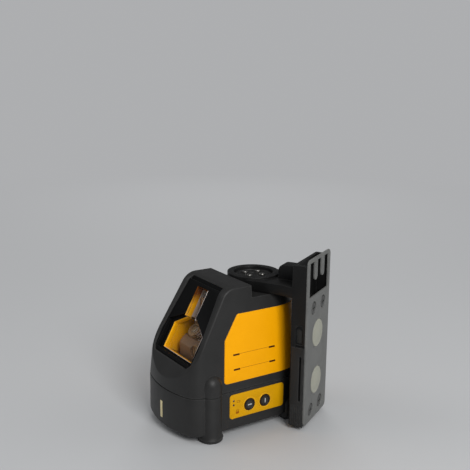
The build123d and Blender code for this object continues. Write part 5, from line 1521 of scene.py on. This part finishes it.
@dataclass(frozen=True)
class Beam:
    """Place of one laser barrel: middle of its front end, tilt in degrees and length."""

    name: str
    front: Point
    tilt: float
    length: float


@dataclass
class PendulumUnit:
    """Swinging block with its two laser barrels and their lenses."""

    upright: Beam = Beam("vertical", (-5.0, -49.642, 72.543), 50.0, 20.0)
    level: Beam = Beam("horizontal", (6.5, -54.998, 58.5), 0.0, 24.998)
    radius: float = 5.0
    bore: float = 3.45
    collar: float = 6.2
    collar_count: int = 3
    collar_pitch: float = 1.9
    collar_width: float = 1.3
    lens_radius: float = 3.4
    lens_length: float = 3.0
    head_front: float = -56.9857
    head_chamfer: float = 5.0
    head_round: float = 0.9

    def build(self) -> None:
        """Builds the block, the barrels and the lenses."""
        block = Piece.copy_of("pendulum_body", "pendulum_block")
        block.ease_edges(self.head_round, self.on_head, segments=3)
        block.smooth().finish(Finishes.CASTING, "pendulum", "pendulum_body")
        for beam, collars in ((self.upright, self.collar_count), (self.level, 0)):
            self.barrel(beam, collars)
            self.lens(beam)

    def on_head(self, first: Vector, second: Vector) -> bool:
        """True on the outer edges of the head, away from the bores.

        Args:
            first: One end of an edge.
            second: Its other end.

        Returns:
            True for an edge to round.
        """
        middle = (first + second) / 2
        x, _, z = self.level.front
        bored = math.hypot(middle.x - x, middle.z - z) < self.radius + 0.8
        return middle.y < self.head_front + self.head_chamfer + 0.1 and not bored

    def along(self, beam: Beam, kind: str, profile: Sequence[Pair]) -> Piece:
        """Turns a piece from its profile and tilts it to its beam."""
        piece = Piece.turned(f"{beam.name}_{kind}", profile, beam.front, Axis.MINUS_Y)
        return piece.turn(-beam.tilt, (1, 0, 0), beam.front)

    def barrel(self, beam: Beam, collars: int) -> None:
        """Turns one barrel, with the collars of its focusing ring near the front.

        Args:
            beam: Its place.
            collars: How many collars stand out from it.
        """
        length, radius, collar = beam.length, self.radius, self.collar
        profile = [(radius - 0.3, -length), (radius, -length + 0.3)]
        for i in range(collars, 0, -1):
            low = -self.collar_pitch * i
            high = low + self.collar_width
            profile += [
                (radius, low), (collar - 0.2, low), (collar, low + 0.2), (collar, high - 0.2),
                (collar - 0.2, high), (radius, high)]
        profile += [
            (radius, -0.3), (radius - 0.3, 0), (4.2, 0), (3.9, -0.5), (self.bore, -0.5),
            (self.bore, -self.lens_length)]
        barrel = self.along(beam, "barrel", profile).smooth()
        barrel.finish(Finishes.BARREL, "pendulum", f"{beam.name}_laser_module")

    def lens(self, beam: Beam) -> None:
        """Turns the lens in a barrel's front end, in an opaque tan that is a painted reflection of
        a clear lens.

        Args:
            beam: Place of the barrel.
        """
        wide = self.lens_radius
        profile = [(wide, -self.lens_length), (wide, -0.9), (3.0, -0.4), (2.2, -0.12), (1.0, 0.0)]
        lens = self.along(beam, "lens", profile).smooth(DOME_ANGLE)
        lens.finish(Finishes.LINE_LENS_PAINTED_REFLECTION, "pendulum", f"{beam.name}_line_lens")


@dataclass(frozen=True)
class Reach:
    """Extent of a box on the upright: out from the swivel, sideways, and its heights."""

    along: Pair
    across: Pair
    heights: Pair


@dataclass
class SwivelBracket:
    """Swivel ring, arm and upright, with the grey back plate, its magnets and screws."""

    heading: float = 30.73
    frame_round: float = 0.5
    frame_low: float = 4.0
    hollow_start: float = 43.9
    wall: float = 2.3
    plate_round: float = 0.4
    plate_inside: float = 52.75
    plate_face: float = 53.95
    half: float = 23.3
    magnet_heights: Pair = (70.5, 32.9)
    magnet_radius: float = 10.5
    magnet_back: float = 49.95
    magnet_face: float = 54.15
    bead_gap: float = 1.1
    bead_half: float = 0.5
    bead_rise: float = 0.2
    plate_screw: Screw = Screw(4.4, 1.5, 1.5, 5.2)
    screw_heights: Pair = (92.5, 12.0)
    screw_side: float = 9.7
    screw_seat: float = 52.35
    retainer_low: float = 107.6
    retainer_high: float = 109.4
    retainer_radius: float = 14.7
    retainer_groove: float = 0.35
    retainer_screw: Screw = Screw(2.3, 1.4, 1.25, 6.0)
    screw_count: int = 4
    screw_circle: float = 7.2
    cover: Reach = Reach((42.9, 52.5), (23.95, 24.3), (3.5, 65.3))
    cover_slot: Reach = Reach((49.15, 50.75), (20.0, 26.0), (23.5, 58.5))
    cover_round: float = 0.12
    rib: Reach = Reach((43.6, 44.3), (24.2, 24.55), (5.0, 20.5))
    rib_count: int = 6
    rib_pitch: float = 1.4
    rib_round: float = 0.15
    pad: Reach = Reach((45.9, 50.1), (21.7, 22.15), (68.1, 78.6))
    pad_round: float = 0.2
    pocket_corner: Reach = Reach((45.35, 50.65), (21.75, 23.28), (79.0, 81.65))
    pocket_centre: Point = (48.0, 0.0, 79.0)
    pocket_round: tuple[Pair, ...] = ((2.5, -30.0), (2.5, 30.0))

    def build(self) -> None:
        """Builds the bracket's pieces."""
        for node, name, width, test, finish in (
                ("bracket_frame", "bracket_arm", self.frame_round, self.on_outside,
                 Finishes.BRACKET),
                ("bracket_back_plate", "grey_back_plate", self.plate_round, self.on_plate_face,
                 Finishes.BACK_PLATE)):
            piece = Piece.copy_of(node, name).turn(-self.heading, (0, 0, 1))
            self.set_up(piece.ease_edges(width, test)).smooth().finish(finish, "bracket", node)
        self.magnets()
        self.plate_screws()
        self.retainer()
        self.sides()

    def set_up(self, piece: Piece) -> Piece:
        """Turns a piece from the bracket's own directions to its heading at rest."""
        return piece.turn(self.heading, (0, 0, 1))

    def on_outside(self, first: Vector, second: Vector) -> bool:
        """True on the outer edges of the ring, the arm and the upright.

        Args:
            first: One end of an edge.
            second: Its other end.

        Returns:
            True for an edge to round.
        """
        middle = (first + second) / 2
        hollow = middle.x > self.hollow_start and abs(middle.y) < self.half - self.wall
        front = max(first.x, second.x) < self.plate_inside - 0.1
        return front and not hollow and middle.z > self.frame_low

    def on_plate_face(self, first: Vector, second: Vector) -> bool:
        """True on the edges of the plate's face."""
        return min(first.x, second.x) > self.plate_face - TOUCH

    def magnets(self) -> None:
        """Turns both magnets, each with a faint raised ring on the plate round it."""
        wide, thick = self.magnet_radius, self.magnet_face - self.magnet_back
        profile = [
            (10.2, 0), (wide, 0.3), (wide, thick - 0.5), (10.35, thick - 0.15), (10.0, thick),
            (8.2, thick), (8.05, thick - 0.08), (7.8, thick - 0.08), (7.65, thick), (3.0, thick)]
        beads = []
        for z, node in zip(self.magnet_heights, ("upper_magnet", "lower_magnet")):
            magnet = Piece.turned(
                f"{node}_disc", profile, (self.magnet_back, 0, z), Axis.X, sides=72)
            self.set_up(magnet).smooth().finish(Finishes.MAGNET, "bracket", node)
            bead = Piece.bead_ring(
                "bead", wide + self.bead_gap, self.bead_half, (self.plate_face, 0, z), Axis.X,
                self.bead_rise)
            beads.append(self.set_up(bead))
        rings = Piece.gathered("magnet_beads", beads).smooth(BEAD_ANGLE)
        rings.finish(Finishes.BACK_PLATE, "bracket")

    def plate_screws(self) -> None:
        """Makes the four dull screws in the plate's seats."""
        pattern = self.plate_screw.make("plate_screw", Axis.X, (self.screw_seat, 0, 0))
        screws = [
            self.set_up(pattern.twin("plate_screw", (0, side * self.screw_side, z)))
            for side in (-1, 1) for z in self.screw_heights]
        pattern.discard()
        Piece.gathered("plate_screws", screws).finish(
            Finishes.DULL_STEEL, "bracket", "back_plate_screws")

    def retainer(self) -> None:
        """Turns the plate inside the ring and sets its four bright screws."""
        wide, thick = self.retainer_radius, self.retainer_high - self.retainer_low
        groove = thick - self.retainer_groove
        profile = [
            (wide - 0.2, 0), (wide, 0.2), (wide, thick - 0.3), (wide - 0.3, thick), (12.6, thick),
            (12.4, groove), (11.2, groove), (11.0, thick), (4.0, thick), (3.8, groove),
            (1.0, groove)]
        disc = Piece.turned("retainer_disc", profile, (0, 0, self.retainer_low), sides=96)
        disc.smooth().finish(Finishes.BRACKET, "housing", "pivot_retainer")
        pattern = self.retainer_screw.make(
            "retainer_screw", Axis.Z, (self.screw_circle, 0, self.retainer_high))
        screws = [
            pattern.twin("retainer_screw").turn(
                self.heading + 360 / self.screw_count * i, (0, 0, 1))
            for i in range(self.screw_count)]
        pattern.discard()
        Piece.gathered("ring_screws", screws).finish(Finishes.ZINC, "housing", "retainer_screws")

    def sides(self) -> None:
        """Dresses both sides of the upright: a ribbed cover below, a round-topped pocket above."""
        covers, ribs, pads, corners = [], [], [], []
        for side in (-1, 1):
            cover = self.slab("cover", side, self.cover)
            cover.cut(self.slab("slot", side, self.cover_slot))
            covers.append(cover.ease(self.cover_round))
            for i in range(self.rib_count):
                rib = self.slab("rib", side, self.rib, self.rib_pitch * i)
                ribs.append(rib.ease(self.rib_round))
            pads.append(self.slab("pad", side, self.pad).ease(self.pad_round))
            corner = self.slab("corners", side, self.pocket_corner)
            corners.append(corner.cut(Piece.turned(
                "round_top", self.pocket_round, self.pocket_centre, Axis.MINUS_Y)))
        for name, pieces, finish in (
                ("side_covers", covers, Finishes.COVER), ("upright_ribs", ribs, Finishes.COVER),
                ("pocket_pads", pads, Finishes.PAD),
                ("pocket_corners", corners, Finishes.BRACKET)):
            self.set_up(Piece.gathered(name, pieces)).smooth().finish(finish, "bracket")

    def slab(self, name: str, side: int, reach: Reach, shift: float = 0.0) -> Piece:
        """Makes a box on one side of the upright, in the bracket's own directions.

        Args:
            name: The piece's name.
            side: 1 on one side, -1 on the other.
            reach: Its extent on side 1.
            shift: How far it is moved out from the swivel.

        Returns:
            The box.
        """
        low, high = sorted(side * end for end in reach.across)
        (start, stop), (bottom, top) = reach.along, reach.heights
        return Piece.box(name, (start + shift, low, bottom), (stop + shift, high, top))


@dataclass
class Underside:
    """Foot pads, tripod thread and battery door under the base."""

    column: Point = (31.5, -57.3, 9.0)
    rear_foot: Point = (31.6, 11.0, 4.2)
    pad_top: float = 2.4
    groove_depth: float = 0.4
    groove_pitch: float = 2.3
    insert_top: float = 11.8
    insert_length: float = 11.0
    insert_radius: float = 6.0
    thread_radius: float = 3.175
    thread_root: float = 2.85
    thread_pitch: float = 1.27
    door_low: float = 4.9
    door_round: float = 0.4
    knuckle_start: float = -18.0
    rib_count: int = 6
    rib_start: float = -66.0
    rib_pitch: float = 2.4
    rib_width: float = 1.1
    rib_half: float = 9.0
    rib_depths: Pair = (-0.5, 0.2)
    rib_round: float = 0.3

    def build(self) -> None:
        """Builds what is seen from below."""
        self.pads()
        self.insert()
        self.door()

    def pads(self) -> None:
        """Turns the grooved rubber pads."""
        top, floor = self.pad_top, self.pad_top - self.groove_depth
        pads = []
        for x, y, radius in (self.column, self.rear_foot):
            profile = [(radius, 0), (radius, top - 0.5), (radius - 0.4, top)]
            edge = radius - 1.4
            while edge > 1.2:
                profile += [
                    (edge, top), (edge - 0.2, floor), (edge - 0.9, floor), (edge - 1.1, top)]
                edge -= self.groove_pitch
            for side in (-1, 1):
                pads.append(Piece.turned("pad", profile, (side * x, y, top), Axis.MINUS_Z))
        grooved = Piece.gathered("grooved_pads", pads).smooth()
        grooved.finish(Finishes.RUBBER, "housing", "rubber_feet")

    def insert(self) -> None:
        """Turns the brass bush with its tripod thread."""
        length, wide = self.insert_length, self.insert_radius
        crest, root = self.thread_radius, self.thread_root
        profile = [
            (wide - 0.2, 0), (wide, 0.2), (wide, length - 0.3), (wide - 0.3, length),
            (3.75, length), (3.3, length - 0.45)]
        depth = length - 0.6
        while depth > 2.6:
            profile += [
                (crest, depth), (root, depth - 0.5), (root, depth - 0.62), (crest, depth - 1.12)]
            depth -= self.thread_pitch
        profile.append((3.0, 2.0))
        bush = Piece.turned("threaded_bush", profile, (0, 0, self.insert_top), Axis.MINUS_Z)
        bush.smooth().finish(Finishes.BRASS, "housing", "tripod_insert")

    def door(self) -> None:
        """Eases the battery door and gives it grip ribs."""
        door = Piece.copy_of("battery_door", "battery_lid")
        door.ease_edges(self.door_round, self.on_door_face)
        door.smooth().finish(Finishes.HOUSING, "battery_door", "battery_door")
        half, ribs = self.rib_half, []
        bottom, top = (self.door_low + depth for depth in self.rib_depths)
        for i in range(self.rib_count):
            y = self.rib_start + self.rib_pitch * i
            rib = Piece.box("rib", (-half, y, bottom), (half, y + self.rib_width, top))
            ribs.append(rib.ease(self.rib_round))
        Piece.gathered("lid_ribs", ribs).smooth().finish(Finishes.HOUSING, "battery_door")

    def on_door_face(self, first: Vector, second: Vector) -> bool:
        """True on the outline of the lid's underside, away from its knuckle."""
        low = max(first.z, second.z) < self.door_low + 0.05
        return low and max(first.y, second.y) < self.knuckle_start


@dataclass
class LockKnob:
    """Sliding pendulum lock with grip ribs on its knob."""

    outside: float = -37.2
    middle: Pair = (-34.993, 22.0)
    knob_round: float = 0.4
    rib_pitch: float = 1.7
    rib_half: Pair = (0.4, 2.3)
    rib_depths: Pair = (-0.45, 0.1)
    rib_round: float = 0.2

    def build(self) -> None:
        """Eases the slider's knob and adds its ribs."""
        slider = Piece.copy_of("pendulum_lock_slider", "lock_slider_knob")
        slider.ease_edges(self.knob_round, self.on_knob)
        slider.smooth().finish(Finishes.BUTTON, "lock_slider", "pendulum_lock_slider")
        (y, z), (along, up) = self.middle, self.rib_half
        outer, inner = (self.outside + depth for depth in self.rib_depths)
        ribs = []
        for i in range(-2, 3):
            place = y + self.rib_pitch * i
            low, high = (outer, place - along, z - up), (inner, place + along, z + up)
            ribs.append(Piece.box("rib", low, high).ease(self.rib_round))
        Piece.gathered("knob_ribs", ribs).smooth().finish(Finishes.BUTTON, "lock_slider")

    def on_knob(self, first: Vector, second: Vector) -> bool:
        """True on the outer edges of the knob."""
        return max(first.x, second.x) < self.outside + 0.05


@dataclass(frozen=True)
class Lamp:
    """Soft square light: place and side in metres, watts, and whether it leaves a sheen."""

    name: str
    place: Point
    size: float
    power: float
    mirrored: bool = True

    def hang(self, aim: Point) -> None:
        """Hangs the light so that it faces a point.

        Args:
            aim: The point, in metres.
        """
        data = bpy.data.lights.new(self.name, "AREA")
        data.size = self.size
        data.energy = self.power
        lamp = bpy.data.objects.new(self.name, data)
        bpy.context.scene.collection.objects.link(lamp)
        lamp.visible_glossy = self.mirrored
        lamp.location = self.place
        ahead = Vector(aim) - Vector(self.place)
        lamp.rotation_euler = ahead.to_track_quat("-Z", "Y").to_euler()


@dataclass
class Studio:
    """Pale floor, soft light and the camera at the photograph's angle."""

    camera_place: Point = (474.98, -329.70, 269.78)
    yaw: float = 56.67
    pitch: float = 12.69
    roll: float = 0.70
    lens: float = 59.52
    sensor: float = 36.0
    floor_half: float = 6.0
    floor_drop: float = 0.00005
    floor_fade: Pair = (0.3, 1.3)
    floor_roughness: float = 0.6
    wall_tone: Colour = (0.42, 0.425, 0.435)
    floor_tone: Colour = (0.52, 0.525, 0.53)
    sky_tone: Colour = (0.95, 0.97, 1.0)
    sky_strength: float = 0.36
    sheen_strength: float = 0.11
    lamp_aim: Point = (0.0, -0.02, 0.06)
    lamps: tuple[Lamp, ...] = (
        Lamp("key_light", (1.3, -0.2, 1.0), 0.7, 17.5),
        Lamp("left_light", (-0.7, -1.0, 1.1), 0.8, 3.6),
        Lamp("rear_light", (0.6, 1.2, 0.9), 0.9, 2.5),
        Lamp("rim_light", (-1.1, 0.7, 0.7), 0.7, 5.0, mirrored=False))

    def build(self) -> None:
        """Builds the floor, the world, the lights and the camera."""
        self.floor()
        self.world()
        for lamp in self.lamps:
            lamp.hang(self.lamp_aim)
        self.camera()
        bpy.context.scene.view_settings.view_transform = "Standard"

    def floor(self) -> None:
        """Lays the floor and fades it to the wall's tone far away."""
        Piece.clear_selection()
        bpy.ops.mesh.primitive_plane_add(
            size=2 * self.floor_half, location=(0, 0, -self.floor_drop))
        floor = bpy.context.active_object
        floor.name = "floor"
        made = bpy.data.materials.new("pale_floor")
        wiring = Wiring.emptied(made)
        reach = wiring.node(
            "ShaderNodeVectorMath", {0: wiring.place()}, operation="LENGTH").outputs["Value"]
        far = wiring.spread(reach, self.floor_fade)
        sheet = wiring.first("ShaderNodeBsdfPrincipled", {
            "Base Color": opaque(self.floor_tone), "Roughness": self.floor_roughness})
        wall = wiring.first("ShaderNodeEmission", {"Color": opaque(self.wall_tone)})
        seen = wiring.node("ShaderNodeLightPath").outputs["Is Camera Ray"]
        shown = wiring.math("MULTIPLY", far, seen)
        wiring.node("ShaderNodeOutputMaterial", {"Surface": wiring.blend(shown, sheet, wall)})
        floor.data.materials.append(made)

    def world(self) -> None:
        """Sets the plain surroundings."""
        world = bpy.data.worlds.new("studio")
        bpy.context.scene.world = world
        wiring = Wiring.emptied(world)
        sky, sheen, wall = (
            wiring.first("ShaderNodeBackground", {"Color": opaque(tone), "Strength": strength})
            for tone, strength in (
                (self.sky_tone, self.sky_strength), (self.sky_tone, self.sheen_strength),
                (self.wall_tone, 1.0)))
        path = wiring.node("ShaderNodeLightPath").outputs
        seen = wiring.math("MAXIMUM", path["Is Camera Ray"], path["Is Transmission Ray"])
        lit = wiring.blend(path["Is Glossy Ray"], sky, sheen)
        wiring.node("ShaderNodeOutputWorld", {"Surface": wiring.blend(seen, lit, wall)})

    def camera(self) -> None:
        """Sets the camera."""
        yaw, pitch, roll = (math.radians(x) for x in (self.yaw, self.pitch, self.roll))
        right = Vector((math.cos(yaw), math.sin(yaw), 0))
        level = Vector((-math.sin(yaw), math.cos(yaw), 0))
        ahead = level * math.cos(pitch) - Vector((0, 0, math.sin(pitch)))
        up = right.cross(ahead)
        across = right * math.cos(roll) + up * math.sin(roll)
        above = up * math.cos(roll) - right * math.sin(roll)
        data = bpy.data.cameras.new("photo_camera")
        data.sensor_width = self.sensor
        data.lens = self.lens
        camera = bpy.data.objects.new("photo_camera", data)
        bpy.context.scene.collection.objects.link(camera)
        columns = Matrix((across, above, -ahead)).transposed().to_4x4()
        camera.matrix_world = Matrix.Translation(Vector(self.camera_place) * MM) @ columns
        bpy.context.scene.camera = camera


def main() -> None:
    """Builds every sub-assembly in order."""
    logging.basicConfig(level=logging.INFO, format="%(message)s")
    Studio().build()
    dress_nodes()
    for unit in (
            Shell(), Cladding(), Keypad(), WindowUnit(), PendulumUnit(), SwivelBracket(),
            Underside(), LockKnob()):
        unit.build()


if __name__ == "__main__":
    main()
